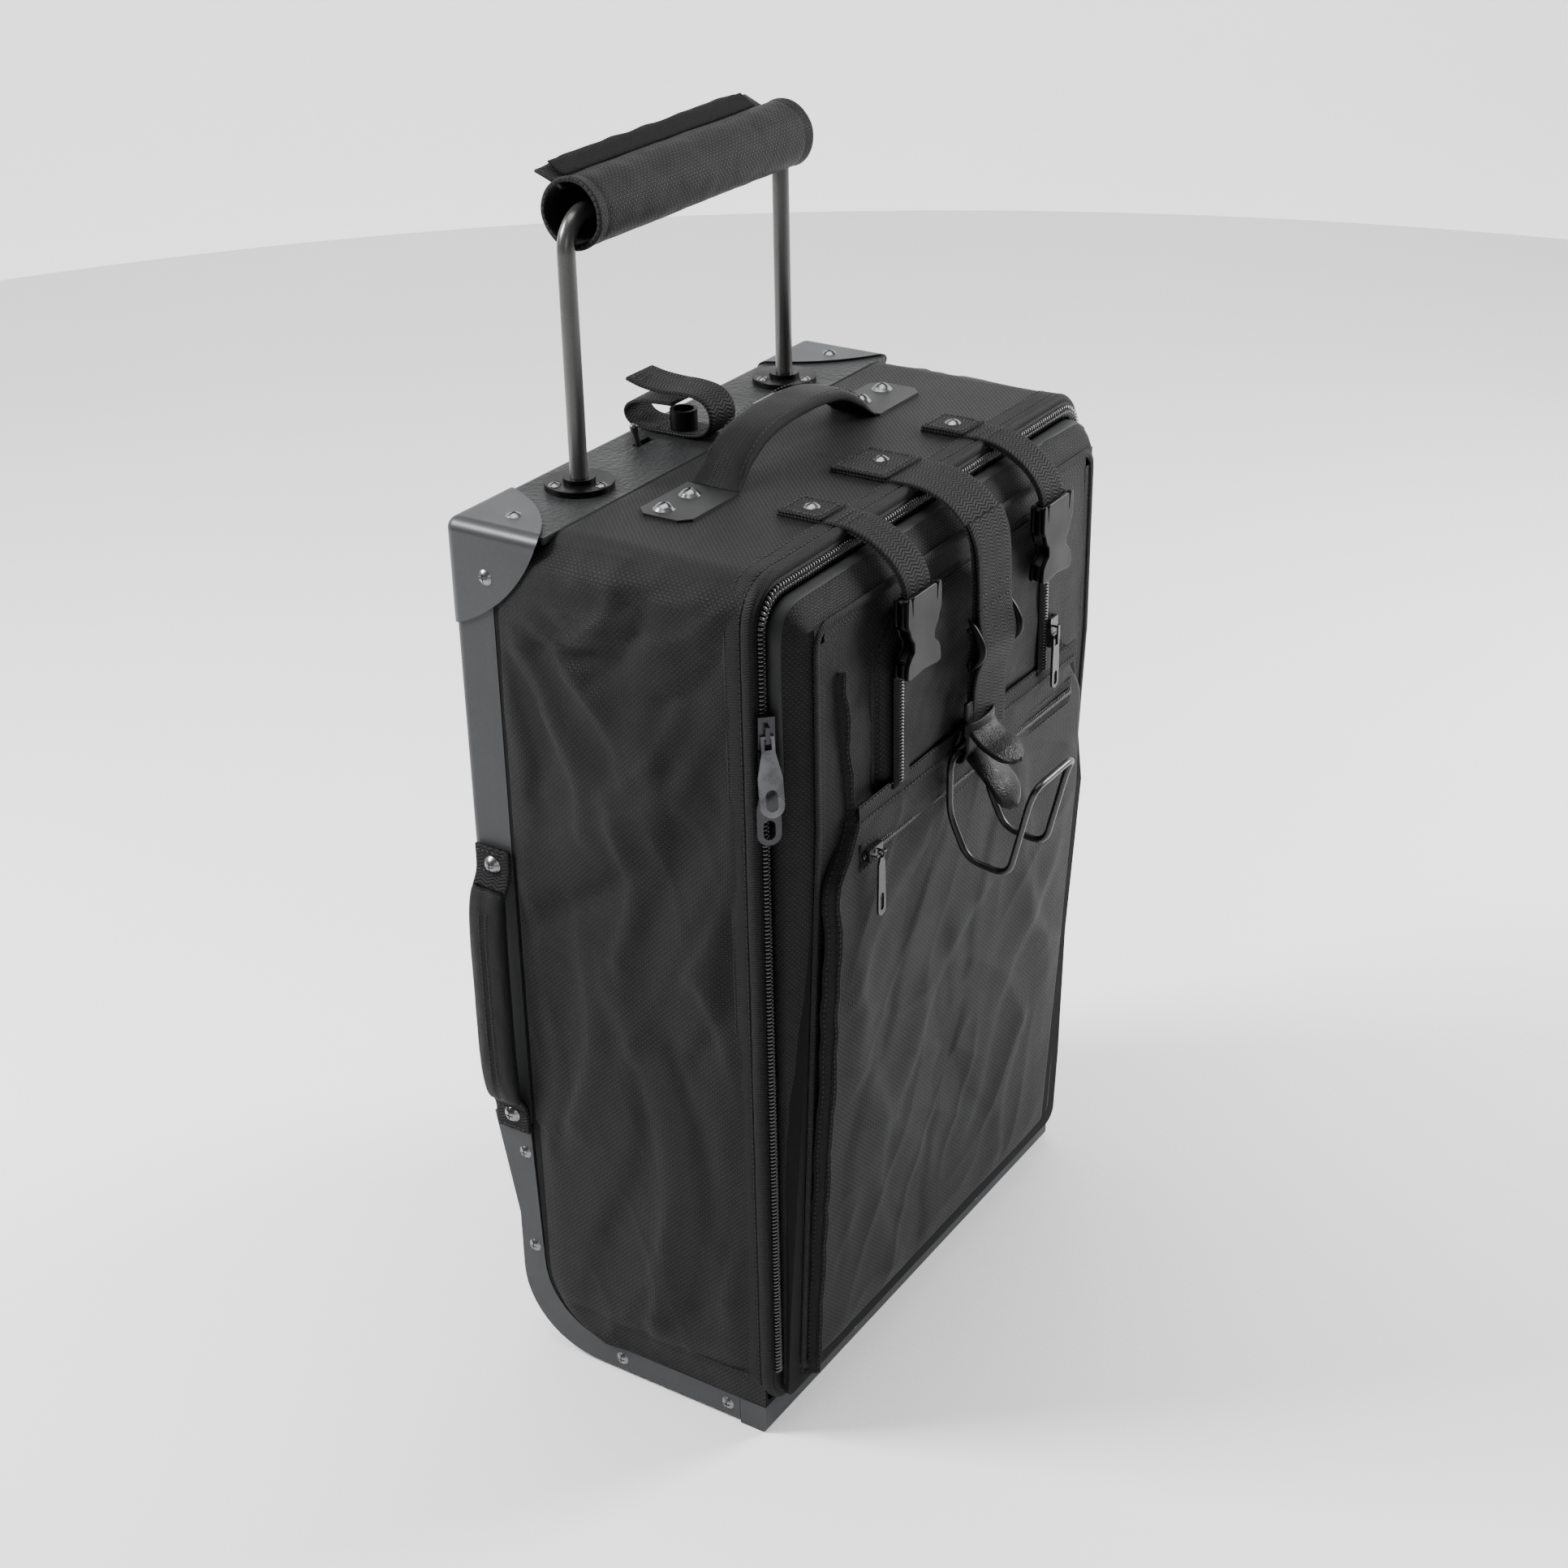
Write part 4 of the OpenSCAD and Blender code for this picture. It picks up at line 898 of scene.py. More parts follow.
def build_lower_pocket():
    """Front sheet of the lower pocket, its wavy left binding, seams and zip."""
    columns, rows = 120, 150
    z0, z1 = POCKET_Z0 - 6.0, POCKET_Z1 + 3.0
    verts, uvs = [], []
    for i in range(rows):
        z = z0 + (z1 - z0) * i / (rows - 1)
        half = pocket_half(z) + 1.0
        for j in range(columns):
            t = j / (columns - 1)
            x = -half + 2 * half * t
            edge = ease((half - abs(x)) / 30) * ease((z1 - z) / 14) * ease((z - z0) / 26)
            warp = 14.0 * wave(x / 90, z / 80, seed=5.9)
            ridge = max(0.0, 1 - 2.6 * abs(wave((x * 0.5 + z + warp) / 70, x / 120, seed=4.1))) ** 2
            second = max(0.0, 1 - 3.0 * abs(wave((x - z * 0.45 + warp) / 52, z / 130, seed=7.1))) ** 2
            rough = 2.0 * wave(x / 70, z / 60, seed=2.5) + 0.5 * wave(x / 22, z / 19, seed=3.5)
            bulk = edge * 0.75 * folded(POCKET_FOLDS, x, z)
            bulk += 1.2 * edge + 0.6 * edge * (rough + 2.0 * ridge + 1.3 * second)
            seam = 1.1 * math.exp(-((z - POCKET_ZIP_Z) / 7.5) ** 2)
            base = pocket_front(z) - 0.35
            if x > half - 9:
                base += (lid_front(z) - base) * ease((x - half + 9) / 9)
            if z < POCKET_Z0 + 6:
                base += (lid_front(z) - 0.6 - base) * ease((POCKET_Z0 + 6 - z) / 12)
            if z > POCKET_Z1 - 6:
                base += (lid_front(z) - 1.4 - base) * ease((z - POCKET_Z1 + 6) / 9)
            verts.append((x, base - max(bulk, 0.15) + seam * edge * 0.3, z))
            uvs.append((x + 0.014 * z, z))
    piece = new_piece("lower_pocket_cloth", verts, grid_faces(rows, columns), "nylon", "lid",
                      uvs)

    path, sides = [], []
    for z in np.linspace(POCKET_Z0 - 8, 484, 150):
        if z < POCKET_Z1:
            half, front = pocket_half(min(z, POCKET_Z1 - 1)), pocket_front(z)
        else:
            half, front = POCKET_HALF - 20 + 0.1 * (z - POCKET_Z1), lid_front(z) - 4.0
        ripple = 1.5 * wave(z / 19.0, seed=11.0) + 0.6 * wave(z / 8.0, seed=12.0)
        path.append((-half - 1.2 + ripple * 0.5, front + 2.2 - ripple, z))
        sides.append((0.55, -0.83, 0))
    section = [(-4.8, -0.5), (-5.1, 0.3), (-4.2, 0.9), (0.0, 0.75), (4.2, 0.9), (5.1, 0.3), (4.8, -0.5)]
    swept("pocket_left_binding", path, section, sides, "binding", "lid")
    rows = []
    for shift in (-3.2, 3.0):
        rows.append([(p[0] + 0.55 * shift - 0.35, p[1] - 0.83 * shift - 0.75, p[2]) for p in path])
    stitches("pocket_binding_stitches", rows, "lid", out=(-0.7, -0.6, 0))

    band = [(x, pocket_front(POCKET_Z1 - 7) - 1.5 - 0.35 * wave(x / 25, seed=4.4), POCKET_Z1 - 1.5)
            for x in np.linspace(-POCKET_HALF + 20, POCKET_HALF - 20, 110)]
    section = [(-7.0, -0.2), (-6.6, 0.7), (0.0, 0.9), (6.6, 0.7), (7.0, -0.2)]
    swept("pocket_top_tape", band, section, (0, 0, 1), "binding", "lid", closed=False)
    seams = [[(x, pocket_front(387) - 2.6 - 0.35 * wave(x / 25, seed=4.4), z) for x in
              np.linspace(-POCKET_HALF + 22, POCKET_HALF - 22, 110)] for z in (393.6, 403.0)]
    stitches("pocket_top_stitches", seams, "lid")


def build_small_zips():
    """Tape and coil of the pocket zip and of the two upright ones."""
    front = pocket_front(POCKET_ZIP_Z)
    tape_y = front - 1.15
    path = [(x, tape_y, POCKET_ZIP_Z) for x in np.linspace(-124, 124, 90)]
    section = [(-8.2, -0.6), (-8.0, 0.35), (-3.4, 0.5), (-3.0, 0.1)]
    section += [(-a, o) for a, o in reversed(section)]
    piece = swept("pocket_zip_tape", path, section, (0, 0, 1), "zip_tape", "lid")
    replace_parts(piece, "pocket_zips")
    turns = [(x, front - 1.9, POCKET_ZIP_Z) for x in np.linspace(-122, 122, 60)]
    coil("pocket_zip_coil", turns, (0, -1, 0), *SMALL_COIL, "lid", "zip_black")
    rows = [[(x, tape_y - 0.55, POCKET_ZIP_Z + k) for x in np.linspace(-121, 121, 40)] for k in (-7.0, 7.0)]
    stitches("pocket_zip_stitches", rows, "lid")
    for side in (-1, 1):
        tag = "left" if side < 0 else "right"
        x = side * (UPPER_HIGH[0] - 17.0)
        path = [(x, UPPER_LOW[1] - 1.9, z) for z in np.linspace(POCKET_Z1 + 1, UPRIGHT_ZIP_TOP, 30)]
        swept(tag + "_upright_zip_tape", path, section, (1, 0, 0), "zip_tape", "lid")
        turns = [(x, UPPER_LOW[1] - 2.6, z) for z in np.linspace(POCKET_Z1 + 2, UPRIGHT_ZIP_TOP - 2, 30)]
        coil(tag + "_upright_zip_coil", turns, (0, -1, 0), *SMALL_COIL, "lid", "zip_black")


def build_upper_pocket():
    """Stuffed upper pocket: a crowned form pinched at its seam."""
    half, z0, z1 = UPPER_HIGH[0], UPPER_LOW[2], UPPER_HIGH[2]
    back, front = UPPER_HIGH[1], UPPER_LOW[1]
    pos, nor, _, _ = ring_outline(half, z0, z1, 28, 10, 3.0)
    middle = np.array([0.0, (z0 + z1) / 2])
    verts, uvs = [], []
    rings = 40
    count = len(pos)
    for i in range(count):
        for k in range(rings):
            t = k / (rings - 1)
            p = pos[i] * (1 - t) + middle * t
            inset = np.linalg.norm(pos[i] - p)
            rise = math.sqrt(min(1.0, 1 - (1 - min(1.0, inset / 20.0)) ** 2))
            fold = 1.3 * wave(p[0] / 30, p[1] / 21, seed=1.7) + 0.5 * wave(p[0] / 11, p[1] / 9, seed=2.9)
            y = back - 0.5 + (front - back - 0.6) * rise + fold * ease((inset - 14) / 14.0)
            verts.append((p[0], y, p[1]))
            uvs.append((p[0], p[1] * 1.02))
    faces = []
    for i in range(count):
        n = (i + 1) % count
        for k in range(rings - 1):
            faces.append((i * rings + k, n * rings + k, n * rings + k + 1, i * rings + k + 1))
    piece = new_piece("upper_pocket_cloth", verts, faces, "nylon", "lid", uvs)
    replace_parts(piece, "upper_pocket")
    ring = [(p[0] + n[0] * 1.0, back - 1.2, p[1] + n[1] * 1.0) for p, n in zip(pos, nor)]
    ring.append(ring[0])
    side = [(n[0], 0, n[1]) for n in nor]
    side.append(side[0])
    swept("upper_pocket_binding", ring, [(-2.4, 0.0), (-1.6, 1.0), (0, 1.3), (1.6, 1.0), (2.4, 0.0)], side,
          "binding", "lid", closed=False)


# ---------------------------------------------------------------- straps

def strap_path(x, points, count=70):
    return smooth_path([(x, y, z) for y, z in points], count)


def stitch_box(x, half, y0, y1, count):
    """Four rows of stitching round a patch on the top."""
    corners = [(x - half, y1), (x + half, y1), (x + half, y0), (x - half, y0)]
    ends = zip(corners, corners[1:] + corners[:1])
    return [[(*(np.array(a) + (np.array(b) - a) * t), TOP_STITCH_Z) for t in np.linspace(0, 1, count)]
            for a, b in ends]


def build_straps():
    """Three straps that hold the lid, with folded patches under their screws and box stitching."""
    for side in (-1, 1):
        x = side * BUCKLE_X
        tag = "left" if side < 0 else "right"
        path = strap_path(x, [(29, 541.9), (14, 542.0), (2, 542.2), (-8, 542.4), (-18, 541.2), (-30, 536.5),
                              (-41, 528.5), (-48, 518), (-50, 506), (-50, 499)])
        upper = swept(tag + "_buckle_strap", path, strap_section(25, 2.0), (1, 0, 0), "webbing", ROOT)
        swept(tag + "_buckle_strap_under", path[4:] + np.array([0, 1.0, -1.9]), strap_section(24.4, 1.8),
              (1, 0, 0), "webbing", ROOT)
        if side < 0:
            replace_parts(upper, "buckle_straps")
        patch = smooth_path([(x, 28.5, 543.6), (x, 15, 543.9), (x, 1.5, 543.6)], 14)
        swept(tag + "_strap_patch", patch, strap_section(25.6, 1.7), (1, 0, 0), "webbing", ROOT)
        box = stitch_box(x, 10.5, 4, 26.5, 12)
        for a in (-6, -12):
            box.append([(x + k, a, 543.6 + (0.2 if a == -6 else -0.1)) for k in np.linspace(-11, 11, 12)])
        stitches(tag + "_strap_stitches", box, ROOT, out=(0, -0.1, 1))
    path = strap_path(0, [(39, 541.9), (20, 542.0), (2, 542.2), (-9, 542.6), (-21, 541.2), (-34, 536),
                          (-44, 527), (-49.5, 515), (-51.3, 498), (-51.5, 478), (-51, 466), (-49.8, 452),
                          (-49.3, 436), (-49.6, 418), (-49.8, 404)], 110)
    wide = swept("middle_strap_web", path, strap_section(38, 2.0), (1, 0, 0), "webbing", ROOT)
    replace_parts(wide, "middle_strap")
    over = strap_path(0, [(-47.5, 527), (-52.6, 514), (-54.2, 497), (-54.6, 482), (-55.4, 470),
                          (-57.0, 463), (-58.4, 456), (-57.2, 448), (-54.4, 440), (-52.6, 428),
                          (-52.2, 412), (-52.0, 398)], 90)
    swept("middle_strap_fold", over, strap_section(37.4, 1.9), (1, 0, 0), "webbing", ROOT)
    patch = smooth_path([(0, 38.5, 543.6), (0, 20, 543.9), (0, 3, 543.7)], 14)
    swept("middle_strap_patch", patch, strap_section(38.4, 1.7), (1, 0, 0), "webbing", ROOT)
    box = stitch_box(0, 16.5, 6, 36, 14)
    for y, z in ((-55.7, 478), (-55.3, 486)):
        box.append([(k, y, z) for k in np.linspace(-17, 17, 14)])
    stitches("middle_strap_stitches", box, ROOT,
             out=lambda at: (0, 0, 1) if at[1] > 0 else (0, -1, 0))


def buckle_outline():
    """Half outline of a side-release socket, from the top ear down to the mouth, mirrored."""
    half = [(12.2, 511), (12.2, 502), (13.0, 500.5), (14.2, 511), (17, 511), (17.2, 497), (15.2, 494),
            (13.4, 489), (10.4, 486), (10.0, 480), (13.6, 477.5), (16.4, 474), (17.2, 466.5),
            (15.0, 465.6), (0, 467.2)]
    return rounded(half + [(-x, z) for x, z in reversed(half[:-1])], 1.6)


def joined(name, parts):
    """One object from several, keeping the first one's name and body."""
    bpy.ops.object.select_all(action="DESELECT")
    for part in parts:
        part.select_set(True)
    bpy.context.view_layer.objects.active = parts[0]
    bpy.ops.object.join()
    parts[0].name = name
    return parts[0]


def build_buckles():
    """Two side-release sockets: ribbed face, side windows, mouth and strap bar."""
    low, high = box_mm("buckles")
    for side in (-1, 1):
        tag = "left" if side < 0 else "right"
        x = side * BUCKLE_X
        parts = []
        for layer, (y, thick) in enumerate(((low[1] + 1.5, 2.8), (high[1] - 1.3, 2.4))):
            place = Matrix.Translation((x * MM, y * MM, 0))
            parts.append(flat_part("%s_buckle_%d" % (tag, layer), buckle_outline(), thick, 0.7, place,
                                   "plastic", ROOT))
        middle = (low[1] + high[1]) / 2
        for k in (-1, 1):
            for z0, z1, wide in ((466.5, 475.5, 2.2), (494, 510.5, 2.4)):
                path = [(x + k * 15.6, middle, z) for z in np.linspace(z0, z1, 6)]
                section = [(-wide / 2, -3.6), (wide / 2, -3.6), (wide / 2, 3.6), (-wide / 2, 3.6)]
                parts.append(swept("wall", path, section, (1, 0, 0), "plastic", ROOT))
        bar = [(x + k, middle, 506) for k in np.linspace(-15, 15, 6)]
        parts.append(swept("bar", bar, tube_section(2.0, 12), (0, 1, 0), "plastic", ROOT))
        piece = joined(tag + "_buckle_socket", parts)
        if side < 0:
            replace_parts(piece, "buckles")
    low, high = box_mm("strap_glide")
    z_mid = (low[2] + high[2]) / 2
    parts = []
    for k in (-1, 1):
        x = k * (high[0] - 2.6)
        path = strap_path(x, [(-50.2, z_mid + 19), (-54.5, z_mid + 13), (-58.2, z_mid + 4),
                              (-58.0, z_mid - 3), (-54.6, z_mid - 9), (-50.6, z_mid - 13)], 30)
        verts = []
        for i, p in enumerate(path):
            t = i / 29
            w = 0.6 + 1.7 * math.sin(math.pi * t) ** 0.6
            d = 0.5 + 2.6 * math.sin(math.pi * t) ** 0.8
            for a in np.linspace(0, 2 * math.pi, 14, endpoint=False):
                verts.append((p[0] + w * math.cos(a), p[1] + d * math.sin(a), p[2] + 0.2 * math.cos(a)))
        faces = grid_faces(30, 14, True) + end_caps(30, 14)
        parts.append(new_piece("glide_end", verts, faces, "plastic", ROOT))
    for y, z in ((-51.6, z_mid + 12.5), (-57.2, z_mid), (-51.6, z_mid - 8.5)):
        parts.append(swept("glide_bar", [(x, y, z) for x in np.linspace(low[0] + 1, high[0] - 1, 8)],
                           tube_section(1.5, 12), (0, 1, 0), "plastic", ROOT))
    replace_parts(joined("strap_adjuster", parts), "strap_glide")


def build_hook_wire():
    """Bent wire of the hook, with its corners rounded."""
    line = [(-47, 393), (-47, 359), (-59, 333), (-85, 330), (-97, 379), (-101, 389)]
    corners = [np.array([-34.0, y, z]) for y, z in line] + [np.array([10.0, y, z]) for y, z in reversed(line)]
    points = []
    count = len(corners)
    for i, p in enumerate(corners):
        a, b = corners[i - 1] - p, corners[(i + 1) % count] - p
        cut = 5.0 if i in (4, 7) else 9.0
        ra, rb = min(cut, np.linalg.norm(a) * 0.48), min(cut, np.linalg.norm(b) * 0.48)
        start, end = p + a / np.linalg.norm(a) * ra, p + b / np.linalg.norm(b) * rb
        for t in np.linspace(0, 1, 9):
            points.append((1 - t) ** 2 * start + 2 * t * (1 - t) * p + t * t * end)
    points = np.array(points)
    count, sides, radius = len(points), 14, 1.95
    ahead = np.roll(points, -1, axis=0) - np.roll(points, 1, axis=0)
    ahead /= np.linalg.norm(ahead, axis=1)[:, None]
    frames, up = [], np.array([0.0, 1.0, 0.3])
    for d in ahead:
        up = up - d * np.dot(up, d)
        up /= np.linalg.norm(up)
        frames.append(up.copy())
    verts = []
    for p, d, n in zip(points, ahead, frames):
        across = np.cross(d, n)
        for a in np.linspace(0, 2 * math.pi, sides, endpoint=False):
            verts.append(p + radius * (n * math.cos(a) + across * math.sin(a)))
    faces = grid_faces(count, sides, True)
    last = verts[(count - 1) * sides:]
    shift = int(np.argmin([np.linalg.norm(last[0] - verts[k]) for k in range(sides)]))
    turned = 1 if np.linalg.norm(last[1] - verts[(shift + 1) % sides]) < radius else -1
    for k in range(sides):
        n = (k + 1) % sides
        faces.append(((count - 1) * sides + k, (count - 1) * sides + n, (shift + turned * n) % sides,
                      (shift + turned * k) % sides))
    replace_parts(new_piece("hook_wire", verts, faces, "wire", "hook"), "j_hook")


def build_hook_leather():
    """Leather loop round the hook's bar, its oval tongue, keeper and edge stitching."""
    loop = strap_path(HOOK_X, [(-51.4, 424), (-52.0, 410), (-52.6, 400), (-52.4, 394), (-50.0, 388.6),
                               (-46.6, 387.6), (-43.6, 390.4), (-43.2, 395.4), (-46.8, 400.4),
                               (-48.8, 408)], 60)
    piece = swept("hook_loop_leather", loop, strap_section(28, 2.2, 0.5), (1, 0, 0), "leather", ROOT)
    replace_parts(piece, "hook_leather")
    for tag, spine, half, turn in (
            ("flap", [(-53.0, 408), (-56.5, 403), (-62.5, 398.5), (-70, 395), (-77, 390)], 13.5, 0.34),
            ("tongue", [(-50.5, 391), (-56, 386), (-63, 379), (-70, 371), (-75, 361)], 12.5, 0.30)):
        rows, columns = 36, 15
        spine = strap_path(HOOK_X, spine, rows)
        verts, uvs, outline = [], [], []
        for i in range(rows):
            t = i / (rows - 1)
            width = half * (math.sqrt(max(0.02, 1 - ((t - 1 + turn) / turn) ** 2)) if t > 1 - turn else 1.0)
            for j in range(columns):
                u = 2 * j / (columns - 1) - 1
                puff = 1.5 * (1 - u * u) + 0.2 * wave(spine[i][2] / 9, u * 3, seed=5.5)
                verts.append((spine[i][0] + width * u, spine[i][1] - puff * 0.7, spine[i][2] + puff * 0.7))
                uvs.append((width * u, i * 1.4))
            outline.append((width, spine[i]))
        piece = new_piece("hook_" + tag + "_leather", verts, grid_faces(rows, columns), "leather", ROOT,
                          uvs)
        add_thickness(piece, 2.0)
        bake_modifiers(piece)
        edge = []
        for side in (-1, 1):
            edge.append([(p[0] + side * max(0.5, width - 2.4), p[1] - 0.4, p[2] + 0.45)
                         for width, p in outline[2:-2]])
        stitches("hook_" + tag + "_stitches", edge, ROOT, 3.0, 2.2, 0.3, 0.1, (0, -0.7, 0.7))
    band = [(HOOK_X + 15.4 * math.cos(a), -52.6 - 3.8 * math.sin(a), 409)
            for a in np.linspace(0, 2 * math.pi, 40)]
    swept("hook_keeper_leather", band, strap_section(8, 1.6, 0.5), (0, 0, 1), "leather", ROOT)


# ---------------------------------------------------------------- handles

def build_grip():
    """Padded wrap of the pull bar: hollow round its ends, closed by a hook-and-loop flap."""
    low, high = box_mm("grip_sleeve")
    y0, z0 = box_mm("handle_bail")[0][1] + 5.0, box_mm("handle_bail")[1][2] - 5.0
    columns = 64
    xs = np.linspace(low[0], high[0], 110)
    verts, uvs = [], []
    for x in xs:
        end = min(x - low[0], high[0] - x)
        lip = 0.6 * math.exp(-(end / 3.0) ** 2)
        seam = -0.5 * math.exp(-((end - 8.0) / 1.6) ** 2)
        for j in range(columns):
            a = 2 * math.pi * j / columns
            fold = 0.55 * wave(x / 24, math.cos(a) * 1.6, math.sin(a) * 1.6, seed=6.1)
            fold += 0.25 * wave(x / 9, math.cos(a) * 2.4, math.sin(a) * 2.4, seed=8.1)
            r = 16.6 + fold + lip + seam
            flat = 0.94 if math.cos(a) < 0 else 1.0
            verts.append((x, y0 + r * math.sin(a) * 0.98, z0 + r * math.cos(a) * flat))
            uvs.append((17.0 * a, x))
    outer = new_piece("grip_wrap", verts, grid_faces(len(xs), columns, True), "nylon", "handle",
                      uvs)
    add_thickness(outer, 3.0)
    bevel = outer.modifiers.new("edge", "BEVEL")
    bevel.width = 0.8 * MM
    bevel.segments = 2
    bevel.limit_method = "ANGLE"
    bake_modifiers(outer)
    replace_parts(outer, "grip_sleeve")
    foot = math.radians(34)
    root = np.array([y0 + 16.4 * math.sin(foot), z0 + 16.2 * math.cos(foot)])
    tip = np.array([high[1], high[2]])

    def flap_curve(end, t):
        start, knee = root + np.array([-4.5, 0.6]), root + np.array([2.2, 3.8])
        return start * (1 - t) ** 2 + 2 * t * (1 - t) * knee + end * t * t

    xf = np.linspace(low[0] + 0.5, high[0] - 9, 100)
    steps = 12
    verts, uvs = [], []
    for x in xf:
        ends = ease((x - xf[0]) / 26) * ease((xf[-1] - x) / 14)
        peak = tip + np.array([1.2 * wave(x / 30, seed=3.3), 0.9 * wave(x / 17, seed=5.3)])
        peak[1] -= 2.5 * (1 - ends)
        for k in range(steps):
            t = k / (steps - 1)
            p = flap_curve(peak, t) + np.array([0.5, 0.3]) * wave(x / 13, t * 2, seed=9.3)
            verts.append((x, p[0], p[1]))
            uvs.append((k * 1.4, x))
    flap = new_piece("grip_flap", verts, grid_faces(len(xf), steps), "nylon", "handle", uvs)
    add_thickness(flap, 1.5, 1.0)
    bake_modifiers(flap)
    verts = []
    for x in xf[4:-4]:
        for t in np.linspace(0.42, 0.96, 6):
            p = flap_curve(tip, t)
            verts.append((x, p[0] - 1.15, p[1] + 0.3))
    strip = new_piece("grip_loop_strip", verts, grid_faces(len(xf) - 8, 6), "loops", "handle")
    add_thickness(strip, 0.7)
    bake_modifiers(strip)
    rows = []
    for a in (52, 128):
        a = math.radians(a)
        rows.append([(x, y0 + 16.9 * math.sin(a), z0 + 16.7 * math.cos(a))
                     for x in np.linspace(low[0] + 6, high[0] - 6, 60)])
    for end in (low[0] + 7.5, high[0] - 7.5):
        rows.append([(end, y0 + 16.6 * math.sin(a), z0 + 16.5 * math.cos(a))
                     for a in np.linspace(0, 2 * math.pi, 50)])
    stitches("grip_stitches", rows, "handle", out=lambda at: (0, at[1] - y0, at[2] - z0))


def build_top_handle():
    """Arched carrying handle: two layers with a rolled, padded middle."""
    low, high = box_mm("top_handle")
    middle = (low[1] + high[1]) / 2
    half_arch = [(-73, 541.6), (-66, 546.5), (-56, 554.5), (-40, 562.5), (-20, 566.2), (0, 567.0)]
    arch = half_arch + [(-x, z) for x, z in reversed(half_arch[:-1])]
    path = smooth_path([(x, middle, z) for x, z in arch], 110)
    along = directions(path)
    run = lengths_along(path)
    verts, uvs = [], []
    sides = 36
    for i, p in enumerate(path):
        t = i / (len(path) - 1)
        pad = ease(min(t, 1 - t) / 0.16)
        half = 15.5 - 1.2 * pad
        thick = 1.3 + 2.7 * pad
        up = np.cross(along[i], (0, 1, 0))
        for j in range(sides):
            a = 2 * math.pi * j / sides
            c, s = math.cos(a), math.sin(a)
            fold = 0.25 * wave(p[0] / 12, c * 2, s * 2, seed=4.2) * pad
            across = np.array([0, half * math.copysign(abs(c) ** 0.55, c), 0])
            verts.append(p + across + up * (thick + fold) * math.copysign(abs(s) ** 0.75, s))
            uvs.append((j * 1.9, run[i]))
    faces = grid_faces(len(path), sides, True) + end_caps(len(path), sides)
    piece = new_piece("top_handle_cloth", verts, faces, "nylon_fine", ROOT, uvs)
    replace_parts(piece, "top_handle")
    rows = []
    for side in (-12.2, 12.2):
        rows.append([p + np.array([0, side, 3.0 * ease(min(i, len(path) - 1 - i) / 18.0) + 1.2])
                     for i, p in enumerate(path)][6:-6])
    stitches("top_handle_stitches", rows, ROOT, out=(0, 0, 1))


def build_side_handle():
    """Padded sleeve on two stitched tabs screwed to the left side."""
    low, high = box_mm("side_handle")
    y0, x_out = 164.0, low[0]
    zs = np.linspace(low[2] + 23, high[2] - 23, 90)
    sides = 40
    verts, uvs = [], []
    z_mid, z_half = (zs[0] + zs[-1]) / 2, (zs[-1] - zs[0]) / 2
    for z in zs:
        t = (z - z_mid) / z_half
        pad = math.sqrt(max(0.0, 1 - abs(t) ** 9))
        half = 12.6 * (0.78 + 0.22 * pad)
        thick = 1.4 + 3.6 * pad
        x0 = x_out + 5.0 + 3.6 * abs(t) ** 5
        for j in range(sides):
            a = 2 * math.pi * j / sides
            c, s = math.cos(a), math.sin(a)
            fold = 0.45 * wave(z / 14, c * 2, s * 2, seed=7.4)
            seam = 0.9 * math.exp(-((s * half) / 1.3) ** 2) if c < 0 else 0.0
            x = x0 + (thick + fold - seam) * math.copysign(abs(c) ** 0.8, c)
            verts.append((x, y0 + half * math.copysign(abs(s) ** 0.8, s), z))
            uvs.append((j * 1.3, z))
    faces = grid_faces(len(zs), sides, True)
    faces.append(tuple(range(sides)))
    faces.append(tuple(range(len(zs) * sides - 1, (len(zs) - 1) * sides - 1, -1)))
    piece = new_piece("side_handle_sleeve", verts, faces, "nylon_fine", ROOT, uvs)
    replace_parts(piece, "side_handle")
    rows = []
    for k in (-2.2, 2.2):
        rows.append([(x_out - 0.1 + 3.6 * abs((z - z_mid) / z_half) ** 5, y0 + k, z) for z in zs[8:-8]])
    stitches("side_handle_stitches", rows, ROOT, out=(-1, 0, 0))
    for sign, tag in ((1, "upper"), (-1, "lower")):
        z_end = high[2] if sign > 0 else low[2]
        bend = [(-180.2, 0), (-180.4, 12), (-181.6, 18), (-185.0, 24), (-188.2, 30), (-190.0, 46)]
        path = smooth_path([(x, y0, z_end - sign * reach) for x, reach in bend], 40)
        swept("side_handle_" + tag + "_tab", path, strap_section(24, 2.4), (0, 1, 0), "webbing", ROOT)
        rows = [[(-182.0, y0 + k, z_end - sign * 15.0) for k in np.linspace(-10, 10, 10)],
                [(-181.9, y0 + k, z_end - sign * 2.5) for k in np.linspace(-10, 10, 10)]]
        stitches("side_handle_" + tag + "_stitches", rows, ROOT, out=(-1, 0, 0))


